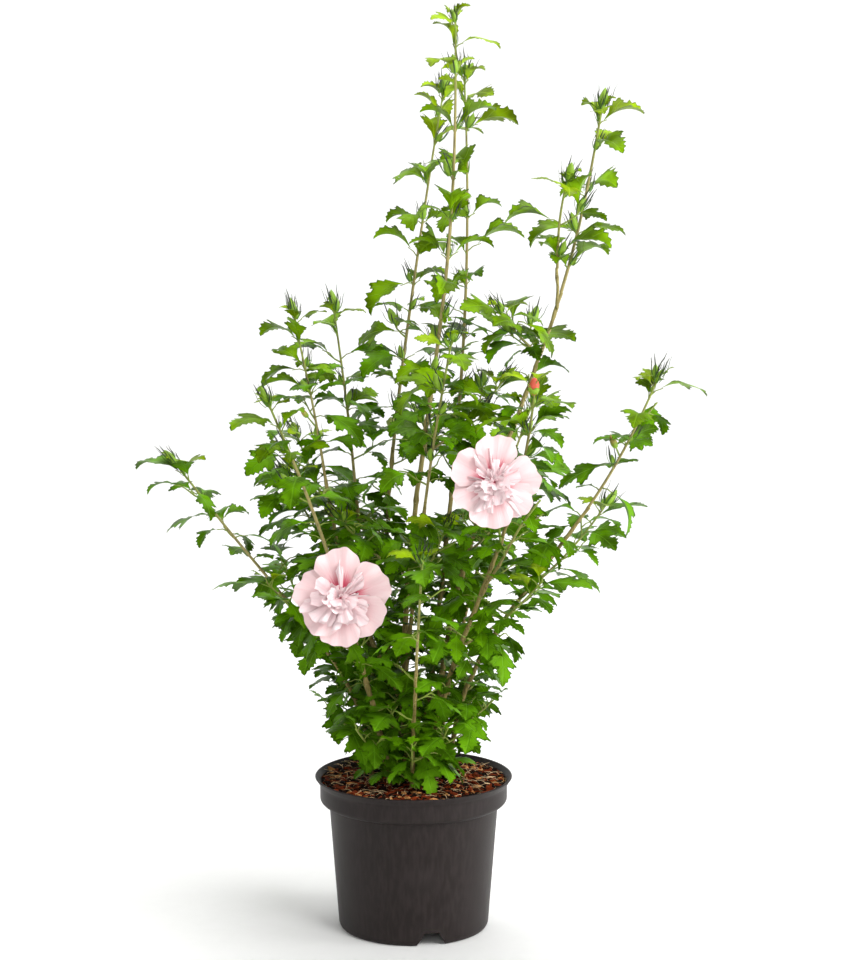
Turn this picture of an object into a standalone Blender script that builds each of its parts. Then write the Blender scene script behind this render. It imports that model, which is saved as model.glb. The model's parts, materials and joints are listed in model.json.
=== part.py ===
"""Hibiscus shrub in a nursery pot, modelled as separate solids.

Run with: blender --background --python part.py

The pot stands on the XY plane with the middle of its underside at the origin.
+Z is up, +X is to the right and -Y is the front. All lengths are in metres.
"""

import math
import random
from collections import namedtuple

import bmesh
import bpy
from mathutils import Matrix, Vector
from mathutils.bvhtree import BVHTree

# --- driving dimensions -------------------------------------------------------

POT_HEIGHT = 0.180
RIM_RADIUS = 0.115          # outside of the rolled lip
BAND_RADIUS = 0.109         # outside of the stiffening band under the lip
BAND_HEIGHT = 0.032
BAND_CORNER = 0.004         # the band rounds in at its lower edge
SHOULDER_RADIUS = 0.0985    # outside of the wall just under the band
BASE_RADIUS = 0.0875        # outside of the wall at the foot
WALL = 0.0018
FOOT_CORNER = 0.0045        # chamfer where the wall turns into the foot
FOOT_WIDTH = 0.004          # flat ring under the wall
FLOOR_RISE = 0.012          # ring channel between the foot and the middle pad
PAD_RADIUS = 0.042          # flat middle of the underside, which stands on the ground
POT_STEPS = 36

NOTCH_COUNT = 3             # drainage notches cut through the foot
NOTCH_FIRST_ANGLE = -76.0   # degrees; the front is at -90
NOTCH_WIDTH = 0.032         # just under the foot; the sides slope in above it
NOTCH_TOP_WIDTH = 0.017
NOTCH_TOP = 0.011           # stays under the floor of the pot
NOTCH_OVERSHOOT = 0.003     # how far the cut goes on past the foot

SOIL_LEVEL = 0.170
SOIL_EDGE_DROP = 0.003
SOIL_FLAT_RADIUS = 0.065    # the canes stand inside this
GAP = 0.0003                # clearance between touching solids
TWIG_CLEARANCE = 0.0008     # free space kept round wood for what is not its own
RIM_POINTS = 24             # points round a stem's end that are kept GAP clear
SEAT_STEPS = 8

LEAN_POWER = 1.35           # a cane leaves the ground upright and leans out as it climbs
TAPER_POWER = 0.8
FLARE = 0.55                # extra radius at the foot of a cane
FLARE_HEIGHT = 0.011
SHOOT_RADIUS = 0.0011       # radius at the tip of every shoot
FLAT_CUT_STEP = 0.002
CANE_RINGS = 9
FOOT_CROWDING = 1.5         # power that draws the rings down to the foot
TWIG_SIDES = 3
LEADING_RINGS = 6
SIDE_RINGS = 5
SIDE_STEM_RADIUS = 0.0017
STEM_TRIES = (0, 25, -25, 50, -50, 80, -80, 110, -110)  # degrees off its own azimuth
TWIG_RADIUS = 0.0011

LEADING_SPACING = 0.030     # distance between two leaves along a leading shoot
SIDE_SPACING = 0.026
LOW_SPACING = 0.020         # the crown is densest near the pot
GOLDEN_ANGLE = math.radians(137.5)
LEAF_LOW = 0.067            # length with its stalk, near the pot
LEAF_HIGH = 0.054           # length near the top
LEAF_WIDTH = 0.54           # share of the length
LEAF_THICKNESS = 0.024      # share of the length at the midrib
LEAF_ARCH = 0.15            # rise of the midrib above the line from root to tip
LEAF_FOLD = 0.05            # lift of the sides above the midrib
LEAF_CLEARANCE = 1.08       # size of the space a leaf keeps free around itself
LEAF_AIR = 0.0012           # free space above and below a leaf
LEAF_ROOT = 0.14            # share of a leaf, at its root, that may meet its neighbours
LEAF_CLIMB_LOW = -0.40      # radians; low leaves hang, high ones lift
LEAF_CLIMB_RANGE = 0.55
CROWN_TOP = 1.06
LOWEST_LEAF = 0.178         # nothing hangs into the soil or over the pot's wall
LOW_HEIGHT = 0.30           # sprays that start below this are the fullest
JOIN_NUDGE = 0.0001         # pieces that only graze are moved a little and joined again
JOIN_FINEST = (0.000002, 0.000005, 0.00001)     # necks finer than these don't hold
LEAF_TRIES = ((0.0, 0.0), (0.6, 0.2), (-0.6, 0.3), (0.0, 0.7))   # turn and lift, radians
BUD_LENGTH = 0.019
BUD_WIDTH = 0.0085
BUD_SET_IN = 0.003          # how far the end bud reaches into its stem
AXIL_DROP = 0.006           # a side bud or twig stands this far under its leaf
TWIG_SHORT = 0.032
TWIG_LONG = 0.048

BLOOM_PETALS = 5
BLOOM_RUFFLES = 5
BLOOM_SCALLOP = 0.18        # depth of the notches between the outer petals
PETAL_THICKNESS = 0.0016
PETAL_CUP = 0.004           # the rims stand this far in front of the middle
RUFFLE_SIZE = 0.52          # share of the bloom's radius
RUFFLE_LEAN = 64            # degrees off the bloom's face
RUFFLE_LEAN_STEP = 4        # each inner petal leans out a little more than the last
HEART_RADIUS = 0.011
CALYX_LENGTH = 0.016
STALK_RADIUS = 0.0016
SEED = 11

# A cane stands in the soil at foot (x, y), or forks from a parent at a share of the
# parent's height. tip is the end of its leading shoot. sag and swing bend it sideways.
# Its bare wood ends at the share bare, where its leading spray takes over. sides are
# the sprays along it: (share, azimuth in degrees, length).
Cane = namedtuple("Cane", "name foot tip sag swing radius bare sides")
Fork = namedtuple("Fork", "parent share")

CANES = (
    Cane("cane_tall", (-0.010, 0.002), (0.047, -0.020, 1.046), 0.005, -0.010, 0.0036, 0.52,
         ((0.06, 255, 0.06), (0.28, 215, 0.12), (0.44, 20, 0.11))),
    Cane("bough_left", Fork("cane_tall", 0.115), (-0.140, 0.100, 0.704), -0.032, -0.008, 0.0025,
         0.62, ((0.36, 130, 0.12),)),
    Cane("bough_middle_front", Fork("cane_tall", 0.135), (0.041, -0.160, 0.698), 0.001, 0.001,
         0.0024, 0.55, ((0.30, 290, 0.11),)),
    Cane("cane_far_left", (-0.050, -0.008), (-0.284, 0.060, 0.544), 0.015, 0.009, 0.0026, 0.62,
         ((0.14, 185, 0.055), (0.42, 120, 0.11))),
    Cane("cane_left_front", (-0.026, -0.028), (-0.156, -0.140, 0.628), -0.002, -0.002, 0.0034,
         0.62, ((0.08, 235, 0.065), (0.36, 185, 0.12))),
    Cane("cane_left_back", (-0.034, 0.018), (-0.096, 0.180, 0.705), -0.005, -0.003, 0.0028,
         0.62, ((0.10, 150, 0.065), (0.42, 100, 0.12))),
    Cane("cane_mid_back", (-0.014, 0.036), (0.035, 0.220, 0.963), -0.028, -0.005, 0.0031, 0.48,
         ((0.10, 100, 0.07), (0.34, 160, 0.12))),
    Cane("cane_right_back", (0.006, 0.022), (0.059, 0.110, 0.984), 0.024, -0.002, 0.0031, 0.48,
         ((0.26, 60, 0.12),)),
    Cane("cane_right_front", (0.014, -0.026), (0.132, -0.170, 0.656), 0.017, -0.008, 0.0034,
         0.66, ((0.08, 290, 0.065), (0.36, 330, 0.12))),
    Cane("bough_right_front", Fork("cane_right_front", 0.50), (0.136, -0.210, 0.536), 0.005,
         0.002, 0.0018, 0.30, ()),
    Cane("cane_right_tall", (0.028, 0.006), (0.218, 0.060, 0.960), 0.005, -0.016, 0.0036, 0.72,
         ((0.10, 20, 0.065), (0.34, 40, 0.12), (0.63, 225, 0.085))),
    Cane("bough_right_tall", Fork("cane_right_tall", 0.70), (0.173, -0.030, 0.873), -0.004,
         0.001, 0.0018, 0.30, ()),
    Cane("cane_far_right", (0.044, -0.010), (0.276, -0.070, 0.659), 0.001, -0.017, 0.0030, 0.68,
         ((0.14, 345, 0.055), (0.48, 30, 0.12))),
    Cane("cane_back_left", (-0.022, 0.052), (-0.150, 0.235, 0.560), 0.004, 0.0, 0.0026, 0.55,
         ((0.20, 150, 0.07),)),
    Cane("cane_back_right", (0.028, 0.042), (0.150, 0.230, 0.600), -0.004, 0.0, 0.0027, 0.58,
         ((0.16, 60, 0.07),)),
    Cane("cane_front", (-0.002, -0.048), (0.010, -0.215, 0.470), 0.0, 0.0, 0.0023, 0.55,
         ((0.10, 270, 0.06),)),
)

# A bloom faces the front on a stalk from its cane.
Bloom = namedtuple("Bloom", "name cane share centre facing radius")
BLOOMS = (
    Bloom("bloom_left", "cane_left_front", 0.50, (-0.078, -0.165, 0.421),
          (-0.10, -1.0, 0.22), 0.053),
    Bloom("bloom_right", "cane_right_front", 0.62, (0.087, -0.195, 0.553),
          (0.05, -1.0, 0.18), 0.049),
)

COLOURS = {                 # sRGB hex, roughness
    "pot plastic": ("3B3836", 0.55),
    "potting soil": ("4A2E20", 0.95),
    "bark": ("8E7A55", 0.85),
    "leaf": ("4E8A22", 0.60),
    "petal": ("F2CDD3", 0.70),
}


# --- scene, materials and small helpers ---------------------------------------

def clear_scene():
    for item in list(bpy.data.objects):
        bpy.data.objects.remove(item, do_unlink=True)


def new_collection(name):
    made = bpy.data.collections.new(name)
    bpy.context.scene.collection.children.link(made)
    return made


def linear(hex_colour):
    channels = [int(hex_colour[i:i + 2], 16) / 255 for i in (0, 2, 4)]
    return [c / 12.92 if c <= 0.04045 else ((c + 0.055) / 1.055) ** 2.4 for c in channels]


def material(finish, owner):
    """A Principled material of one finish for one named object."""
    colour, roughness = COLOURS[finish]
    made = bpy.data.materials.new(f"{finish} {owner}")
    made.use_nodes = True
    shader = made.node_tree.nodes["Principled BSDF"]
    shader.inputs["Base Color"].default_value = (*linear(colour), 1.0)
    shader.inputs["Roughness"].default_value = roughness
    shader.inputs["Metallic"].default_value = 0.0
    made.diffuse_color = (*linear(colour), 1.0)
    return made


def new_object(name, data, home):
    made = bpy.data.objects.new(name, data)
    home.objects.link(made)
    return made


def baked_mesh(item):
    """The object's evaluated shape as a mesh of its own."""
    bpy.context.view_layer.update()
    shape = item.evaluated_get(bpy.context.evaluated_depsgraph_get())
    return bpy.data.meshes.new_from_object(shape)


def welded(mesh):
    work = bmesh.new()
    work.from_mesh(mesh)
    bmesh.ops.remove_doubles(work, verts=work.verts, dist=0.00001)
    work.to_mesh(mesh)
    work.free()
    return mesh


def tree_of(mesh, matrix=None):
    place = matrix or Matrix()
    return BVHTree.FromPolygons([place @ v.co for v in mesh.vertices],
                                [tuple(p.vertices) for p in mesh.polygons])


# --- pot and soil -------------------------------------------------------------

def turned(name, profile, home):
    """A profile of (radius, height), inner side first, turned about Z."""
    mesh = bpy.data.meshes.new(name)
    mesh.from_pydata([(r, 0.0, z) for r, z in profile],
                     [(i, i + 1) for i in range(len(profile) - 1)], [])
    made = new_object(name, mesh, home)
    screw = made.modifiers.new("turn", "SCREW")
    screw.steps = screw.render_steps = POT_STEPS
    screw.use_merge_vertices = True
    screw.merge_threshold = 0.00001
    screw.use_smooth_shade = False
    return made


def pot_inside(gap):
    """Inner side of the pot from its middle to the soil level, pulled in by gap."""
    band_under = POT_HEIGHT - BAND_HEIGHT
    floor_top = FLOOR_RISE + WALL + gap
    return [
        (0.0, WALL + gap),
        (PAD_RADIUS - WALL - gap, WALL + gap),
        (PAD_RADIUS - gap, floor_top),
        (BASE_RADIUS - WALL - gap, floor_top),
        (SHOULDER_RADIUS - WALL - gap, band_under + WALL + gap),
        (BAND_RADIUS - WALL - gap, band_under + 2 * WALL + gap),
    ]


def make_pot(home, cutters):
    band_under = POT_HEIGHT - BAND_HEIGHT
    lip = RIM_RADIUS - BAND_RADIUS
    foot_ring = BASE_RADIUS - FOOT_CORNER
    profile = pot_inside(0.0) + [
        (BAND_RADIUS - WALL, POT_HEIGHT - lip),
        (RIM_RADIUS - 1.3 * WALL, POT_HEIGHT - 0.3 * WALL),
        (RIM_RADIUS - 0.6 * WALL, POT_HEIGHT),
        (RIM_RADIUS, POT_HEIGHT - 0.6 * WALL),
        (BAND_RADIUS + 0.3 * WALL, POT_HEIGHT - 1.5 * lip),
        (BAND_RADIUS, POT_HEIGHT - 2.0 * lip),
        (BAND_RADIUS, band_under + BAND_CORNER),
        (BAND_RADIUS - BAND_CORNER, band_under),
        (SHOULDER_RADIUS, band_under),
        (BASE_RADIUS, FOOT_CORNER),
        (foot_ring + 0.5 * FOOT_WIDTH, 0.0),
        (foot_ring - 0.5 * FOOT_WIDTH, 0.0),
        (foot_ring - 0.75 * FOOT_WIDTH, FLOOR_RISE),
        (PAD_RADIUS + WALL, FLOOR_RISE),
        (PAD_RADIUS, 0.0),
        (0.0, 0.0),
    ]
    pot = turned("pot", profile, home)
    for k in range(NOTCH_COUNT):
        angle = math.radians(NOTCH_FIRST_ANGLE + k * 360.0 / NOTCH_COUNT)
        cut = pot.modifiers.new(f"notch {k}", "BOOLEAN")
        cut.operation = "DIFFERENCE"
        cut.solver = "EXACT"
        cut.object = notch_cutter(k, angle, cutters)
    pot.data.materials.append(material("pot plastic", "pot"))
    return pot


def notch_cutter(index, angle, cutters):
    """A block with sloping sides that goes out through the foot at one angle."""
    work = bmesh.new()
    bmesh.ops.create_cube(work, size=1.0)
    inner = PAD_RADIUS + 0.5 * (BASE_RADIUS - PAD_RADIUS)
    outer = BASE_RADIUS + NOTCH_OVERSHOOT
    for v in work.verts:
        high = v.co.z > 0
        width = NOTCH_TOP_WIDTH if high else NOTCH_WIDTH
        v.co.y = math.copysign(0.5 * width, v.co.y)
        v.co.x = outer if v.co.x > 0 else inner
        v.co.z = NOTCH_TOP if high else -NOTCH_OVERSHOOT
    mesh = bpy.data.meshes.new(f"notch_cutter_{index}")
    work.to_mesh(mesh)
    work.free()
    cutter = new_object(f"notch_cutter_{index}", mesh, cutters)
    cutter.rotation_euler.z = angle
    cutter.hide_render = True
    cutter.display_type = "WIRE"
    return cutter


def make_soil(home):
    """The soil fills the pot and lies flat where the canes stand."""
    inside = pot_inside(GAP)
    edge = inside[-1][0]
    profile = [
        (0.0, SOIL_LEVEL),
        (SOIL_FLAT_RADIUS, SOIL_LEVEL),
        (edge, SOIL_LEVEL - SOIL_EDGE_DROP),
    ] + inside[::-1]
    soil = turned("potting_soil", profile, home)
    soil.data.materials.append(material("potting soil", "potting_soil"))
    return soil


# --- canes and twigs ----------------------------------------------------------

def triangle_section():
    """The three-sided section that twigs are swept from."""
    curve = bpy.data.curves.new("twig_section", "CURVE")
    curve.dimensions = "2D"
    spline = curve.splines.new("POLY")
    spline.points.add(TWIG_SIDES - 1)
    for k, point in enumerate(spline.points):
        angle = -2 * math.pi * k / TWIG_SIDES   # clockwise, so that the sweep faces out
        point.co = (math.cos(angle), math.sin(angle), 0.0, 1.0)
    spline.use_cyclic_u = True
    return bpy.data.objects.new("twig_section", curve)


def tube(name, points, radii, home, section=None):
    """A tapering limb through points, as a welded closed mesh."""
    curve = bpy.data.curves.new(name, "CURVE")
    curve.dimensions = "3D"
    curve.fill_mode = "FULL"
    curve.use_fill_caps = True
    if section:
        curve.bevel_mode = "OBJECT"
        curve.bevel_object = section
    else:
        curve.bevel_depth = 1.0
        curve.bevel_resolution = 1
    spline = curve.splines.new("POLY")
    spline.points.add(len(points) - 1)
    for slot, place, radius in zip(spline.points, points, radii):
        slot.co = (*place, 1.0)
        slot.radius = radius
    sweep = new_object(name + "_curve", curve, home)
    made = new_object(name, welded(baked_mesh(sweep)), home)
    bpy.data.objects.remove(sweep, do_unlink=True)
    made.data.name = name
    return made


SEATED_FORKS = {}           # where each fork starts, once it lies against its parent


def cane_by_name(name):
    return next(cane for cane in CANES if cane.name == name)


def cane_start(cane):
    """Centre of the cane's lower end, on the soil or beside its parent."""
    if cane.name in SEATED_FORKS:
        return SEATED_FORKS[cane.name]
    if not isinstance(cane.foot, Fork):
        return Vector((*cane.foot, SOIL_LEVEL + GAP))
    parent = cane_by_name(cane.foot.parent)
    share = cane.foot.share
    root = cane_point(parent, share)
    out = Vector(cane.tip) - root
    out.z = 0.0
    out.normalize()
    lean = out.dot(cane_axis(parent, share))
    clear = cane_radius(parent, share) + cane.radius + GAP
    return root + out * (clear / math.sqrt(1 - lean * lean))


def cane_point(cane, share):
    """Centre of the cane at a share of its height."""
    start = cane_start(cane)
    tip = Vector(cane.tip)
    lean = share ** LEAN_POWER
    bend = cane.sag * 4 * share * (1 - share) + cane.swing * math.sin(2 * math.pi * share)
    return Vector((start.x + (tip.x - start.x) * lean + bend,
                   start.y + (tip.y - start.y) * lean,
                   start.z + (tip.z - start.z) * share))


def cane_axis(cane, share):
    return (cane_point(cane, share + 0.01) - cane_point(cane, share - 0.01)).normalized()


def cane_radius(cane, share):
    wood = SHOOT_RADIUS + (cane.radius - SHOOT_RADIUS) * (1 - share) ** TAPER_POWER
    if isinstance(cane.foot, Fork):
        return wood
    above = share * (cane.tip[2] - SOIL_LEVEL)
    return wood * (1 + FLARE * math.exp(-above / FLARE_HEIGHT))


def cane_shares(cane):
    """Shares of the rings of the bare wood, closer together at a foot in the soil."""
    power = 1.0 if isinstance(cane.foot, Fork) else FOOT_CROWDING
    return [cane.bare * (k / (CANE_RINGS - 1)) ** power for k in range(CANE_RINGS)]


def rim(centre, axis, radius):
    """Points round the rim of a disc."""
    turn = axis.to_track_quat("Z", "Y")
    angles = [2 * math.pi * k / RIM_POINTS for k in range(RIM_POINTS)]
    return [centre + turn @ Vector((radius * math.cos(a), radius * math.sin(a), 0.0))
            for a in angles]


def slide_to_seat(tree, points, away):
    """How far the points slide along away until the nearest is GAP off the surface."""
    moved = 0.0
    for _ in range(SEAT_STEPS):
        nearest = min(tree.find_nearest(p + away * moved)[3] for p in points)
        moved -= nearest - GAP
    return moved


def seat_fork(cane, limbs):
    """Moves the start of a fork against its parent's real surface."""
    parent = limbs[cane.foot.parent]
    start = cane_start(cane)
    away = start - cane_point(cane_by_name(cane.foot.parent), cane.foot.share)
    away.z = 0.0
    away.normalize()
    points = []
    for share in cane_shares(cane)[:3]:
        axis = cane_axis(cane, max(share, 0.01))
        points += rim(cane_point(cane, share), axis, cane_radius(cane, share))
    SEATED_FORKS[cane.name] = start + away * slide_to_seat(parent, points, away)


def make_cane(cane, home):
    shares = cane_shares(cane)
    points = [cane_point(cane, s) for s in shares]
    radii = [cane_radius(cane, s) for s in shares]
    if not isinstance(cane.foot, Fork):
        # an upright first step keeps the cut at the soil level
        points.insert(1, points[0] + Vector((0.0, 0.0, FLAT_CUT_STEP)))
        radii.insert(1, radii[0])
    made = tube(cane.name, points, radii, home)
    made.data.materials.append(material("bark", cane.name))
    return made


# --- leaves, buds and sprays --------------------------------------------------

def diamond(name, corners, home=None):
    """An eight-faced closed blade from a coarse sphere.

    corners holds the root, the tip, the left, the right, the top and the underside.
    """
    root, tip, left, right, top, under = corners
    work = bmesh.new()
    bmesh.ops.create_uvsphere(work, u_segments=4, v_segments=2, radius=1.0)
    for v in work.verts:
        x, y, z = v.co
        if abs(z) > 0.5:
            v.co = top if z > 0 else under
        elif abs(x) > 0.5:
            v.co = tip if x > 0 else root
        else:
            v.co = left if y > 0 else right
    mesh = bpy.data.meshes.new(name)
    work.to_mesh(mesh)
    work.free()
    return new_object(name, mesh, home) if home else mesh


def leaf_corners(length, size=1.0):
    """Corners of a leaf along +X whose sides lift and whose tip hangs."""
    half = 0.5 * LEAF_WIDTH * length * size
    thick = 0.5 * LEAF_THICKNESS * length
    thick = thick if size == 1.0 else thick + LEAF_AIR
    rise = LEAF_ARCH * length
    side = rise + LEAF_FOLD * length
    return (Vector((0.0, 0.0, 0.0)),
            Vector((length * (1 + 0.5 * (size - 1)), 0.0, 0.0)),
            Vector((0.52 * length, half, side)),
            Vector((0.52 * length, -half, side)),
            Vector((0.54 * length, 0.0, rise + thick)),
            Vector((0.54 * length, 0.0, rise - thick)))


def bud_corners(size=1.0):
    half = 0.5 * BUD_WIDTH * size
    return (Vector((0.0, 0.0, 0.0)),
            Vector((BUD_LENGTH * size, 0.0, 0.0)),
            Vector((0.5 * BUD_LENGTH, half, 0.0)),
            Vector((0.5 * BUD_LENGTH, -half, 0.0)),
            Vector((0.5 * BUD_LENGTH, 0.0, half)),
            Vector((0.5 * BUD_LENGTH, 0.0, -half)))


def facing(place, along, up, roll=0.0):
    """A matrix that puts +X along a direction with +Z as near to up as it goes."""
    x = along.normalized()
    y = up.cross(x)
    if y.length < 0.001:
        y = Vector((0.0, 1.0, 0.0)).cross(x)
    y.normalize()
    z = x.cross(y)
    frame = Matrix((x, y, z)).transposed().to_4x4()
    return Matrix.Translation(place) @ frame @ Matrix.Rotation(roll, 4, "X")


class Space:
    """What already stands in the crown, so that nothing grows into it."""

    def __init__(self):
        self.taken = []

    def add(self, tree, low, high, owner):
        self.taken.append((tree, low, high, owner))

    def add_mesh(self, mesh, matrix, owner):
        low, high = span(mesh, matrix)
        self.add(tree_of(mesh, matrix), low, high, owner)

    def is_free(self, mesh, matrix, ignore=()):
        low, high = span(mesh, matrix)
        if low.z < LOWEST_LEAF:
            return False
        tree = None
        for other, other_low, other_high, owner in self.taken:
            if owner in ignore:
                continue
            if any(low[k] > other_high[k] or high[k] < other_low[k] for k in range(3)):
                continue
            tree = tree or tree_of(mesh, matrix)
            if tree.overlap(other):
                return False
        return True


def span(mesh, matrix):
    places = [matrix @ v.co for v in mesh.vertices]
    low = Vector([min(p[k] for p in places) for k in range(3)])
    high = Vector([max(p[k] for p in places) for k in range(3)])
    return low, high


def leaf_length(height):
    share = min(1.0, max(0.0, (height - SOIL_LEVEL) / (CROWN_TOP - SOIL_LEVEL)))
    return LEAF_LOW + (LEAF_HIGH - LEAF_LOW) * share


def heading(azimuth, climb):
    return Vector((math.cos(azimuth) * math.cos(climb),
                   math.sin(azimuth) * math.cos(climb), math.sin(climb)))


def leaf_climb(height):
    """Climb of a leaf from its root to its tip."""
    share = min(1.0, max(0.0, (height - SOIL_LEVEL) / (CROWN_TOP - SOIL_LEVEL)))
    return LEAF_CLIMB_LOW + LEAF_CLIMB_RANGE * share


class Spray:
    """One mass of foliage that branches from a single stem."""

    def __init__(self, name, points, radii, outward, space, section, home, bench):
        self.name = name
        self.points = points
        self.radii = radii
        self.outward = outward
        self.space = space
        self.section = section
        self.home = home
        self.bench = bench
        self.rng = random.Random(f"{SEED} {name}")
        self.stem = tube(name, points, radii, home, section)
        self.pieces = 0
        guard = [r + TWIG_CLEARANCE for r in radii]
        self.claim(tube(name + "_guard", points, guard, bench, section), name + " stem")

    def claim(self, item, owner):
        self.space.add_mesh(item.data, item.matrix_world, owner)
        bpy.data.objects.remove(item, do_unlink=True)

    def along(self, distance):
        """Point and direction on the stem at a distance from its lower end."""
        for a, b in zip(self.points, self.points[1:]):
            step = (b - a).length
            if distance <= step or b is self.points[-1]:
                return a.lerp(b, min(1.0, distance / step)), (b - a).normalized()
            distance -= step

    def length(self):
        return sum((b - a).length for a, b in zip(self.points, self.points[1:]))

    def place(self, corners, guard, matrix):
        """Adds a leaf or bud where its own free space allows it.

        The whole of it stays clear of other sprays, limbs and blooms, and all but its
        root stays clear of this spray's own leaves.
        """
        around = diamond("guard", guard)
        outer = diamond("guard", [guard[0].lerp(guard[1], LEAF_ROOT)] + list(guard[1:]))
        own = self.name + " stem"
        free = (self.space.is_free(around, matrix, ignore=(own, self.name))
                and self.space.is_free(outer, matrix, ignore=(own,)))
        if free:
            piece = diamond(f"{self.name}_{self.pieces}", corners, self.bench)
            piece.matrix_world = matrix
            self.space.add_mesh(around, matrix, self.name)
            self.pieces += 1
        bpy.data.meshes.remove(around)
        bpy.data.meshes.remove(outer)
        return free

    def leaf(self, root, azimuth, climb, length):
        """A leaf that leaves the stem at an azimuth and hangs over at its tip."""
        roll = self.rng.uniform(-0.5, 0.5)
        for turn, lift in LEAF_TRIES:
            matrix = facing(root, heading(azimuth + turn, climb + lift),
                            Vector((0.0, 0.0, 1.0)), roll)
            if self.place(leaf_corners(length), leaf_corners(length, LEAF_CLEARANCE), matrix):
                return

    def bud(self, root, along):
        matrix = facing(root, along, Vector((0.3, 0.2, 0.9)))
        return self.place(bud_corners(), bud_corners(1.1), matrix)

    def side_twig(self, root, azimuth, climb, length, leaves):
        """A short side twig with leaves along it, left out where it would touch."""
        along = heading(azimuth, climb)
        end = root + along * length
        middle = root.lerp(end, 0.5) - Vector((0.0, 0.0, 0.06 * length))
        points = [root, middle, end]
        guard = tube("guard", points, [TWIG_RADIUS + TWIG_CLEARANCE] * 3, self.bench,
                     self.section)
        own = (self.name + " stem", self.name)
        free = self.space.is_free(guard.data, guard.matrix_world, ignore=own)
        if not free:
            bpy.data.objects.remove(guard, do_unlink=True)
            return
        self.claim(guard, self.name + " stem")
        radii = [TWIG_RADIUS, 0.9 * TWIG_RADIUS, 0.7 * TWIG_RADIUS]
        tube(f"{self.name}_twig_{self.pieces}", points, radii, self.bench, self.section)
        self.pieces += 1
        size = leaf_length(root.z)
        for k in range(leaves):
            share = 0.96 - 0.60 * k / leaves
            turn = azimuth + (0.2 if k == 0 else (1.2 if k % 2 else -1.2))
            place = (middle.lerp(end, 2 * share - 1) if share > 0.5
                     else root.lerp(middle, 2 * share))
            self.leaf(place, turn + self.rng.uniform(-0.3, 0.3),
                      leaf_climb(root.z) + self.rng.uniform(-0.3, 0.3),
                      size * self.rng.uniform(0.75, 0.95))

    def grow(self, spacing, twigs, twig_leaves, buds):
        """Leaves at every node, side twigs at some, and buds at the end."""
        length = self.length()
        first = 0.5 * spacing
        count = max(3, round((length - first) / spacing))
        spacing = (length - first) / count
        for k in range(count + 1):
            root, along = self.along(length - k * spacing)
            azimuth = self.outward + k * GOLDEN_ANGLE
            size = leaf_length(root.z)
            climb = leaf_climb(root.z) + self.rng.uniform(-0.3, 0.3)
            if k == 0:
                self.bud(root - along * BUD_SET_IN, along)
                self.leaf(root - along * 1.3 * BUD_SET_IN, azimuth + 2.2, 0.7, size * 0.6)
                self.leaf(root - along * AXIL_DROP, azimuth + 4.6, 0.5, size * 0.65)
                continue
            if k == 1:
                self.leaf(root, self.outward, 0.1, size * 1.12)
                continue
            self.leaf(root, azimuth + self.rng.uniform(-0.25, 0.25), climb,
                      size * self.rng.uniform(0.85, 1.05) * (0.75 + 0.25 * min(1, k / 3)))
            axil = root - along * AXIL_DROP
            if k <= buds:
                self.bud(axil, Vector((math.cos(azimuth + 2.8), math.sin(azimuth + 2.8), 1.6)))
            elif k % 2 == 1 and k < twigs * 2:
                self.side_twig(axil, azimuth + 2.6, 0.6,
                               self.rng.uniform(TWIG_SHORT, TWIG_LONG), twig_leaves)
            elif k % 4 == 2:
                self.leaf(axil, azimuth + math.pi, climb + 0.3, size * self.rng.uniform(0.6, 0.8))


def fuse(stem, bench, finish):
    """Joins all that lies on the bench to a stem as one closed body."""
    name = stem.name
    joined = None
    for attempt, solver in enumerate(("EXACT", "MANIFOLD", "EXACT", "EXACT", "EXACT")):
        for k, item in enumerate(bench.objects):
            item.location.z += attempt * JOIN_NUDGE * (k % 3 - 1)
        join = stem.modifiers.new("join", "BOOLEAN")
        join.operation = "UNION"
        join.operand_type = "COLLECTION"
        join.collection = bench
        join.solver = solver
        joined = largest_body(baked_mesh(stem))
        stem.modifiers.remove(join)
        if is_closed(joined):
            break
    for item in list(bench.objects):
        bpy.data.objects.remove(item, do_unlink=True)
    stem.data = joined
    joined.name = name
    joined.materials.clear()
    joined.materials.append(material(finish, name))


def is_closed(mesh):
    """Whether the surface is closed, also once its finest edges are merged."""
    for distance in JOIN_FINEST:
        work = bmesh.new()
        work.from_mesh(mesh)
        bmesh.ops.remove_doubles(work, verts=work.verts[:], dist=distance)
        closed = all(len(edge.link_faces) == 2 for edge in work.edges)
        work.free()
        if not closed:
            return False
    return True


def largest_body(mesh):
    """Drops loose scraps, keeping the faces that hang together along edges."""
    work = bmesh.new()
    work.from_mesh(mesh)
    unseen = set(work.faces)
    bodies = []
    while unseen:
        stack = [unseen.pop()]
        body = set(stack)
        while stack:
            for edge in stack.pop().edges:
                for face in edge.link_faces:
                    if face in unseen:
                        unseen.discard(face)
                        body.add(face)
                        stack.append(face)
        bodies.append(body)
    keep = max(bodies, key=len)
    loose = [face for face in work.faces if face not in keep]
    bmesh.ops.delete(work, geom=loose, context="FACES")
    work.to_mesh(mesh)
    work.free()
    return mesh


def stem_start(cane, share, along, radius, limbs):
    """Where a stem that leaves a cane starts, so that its end cap lies GAP off it."""
    lift = abs(cane_axis(cane, share).dot(along))
    side = math.sqrt(max(0.05, 1 - lift * lift))
    distance = (cane_radius(cane, share) + GAP + radius * lift) / side
    start = cane_point(cane, share) + along * distance
    return start + along * slide_to_seat(limbs[cane.name], rim(start, along, radius), along)


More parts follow.
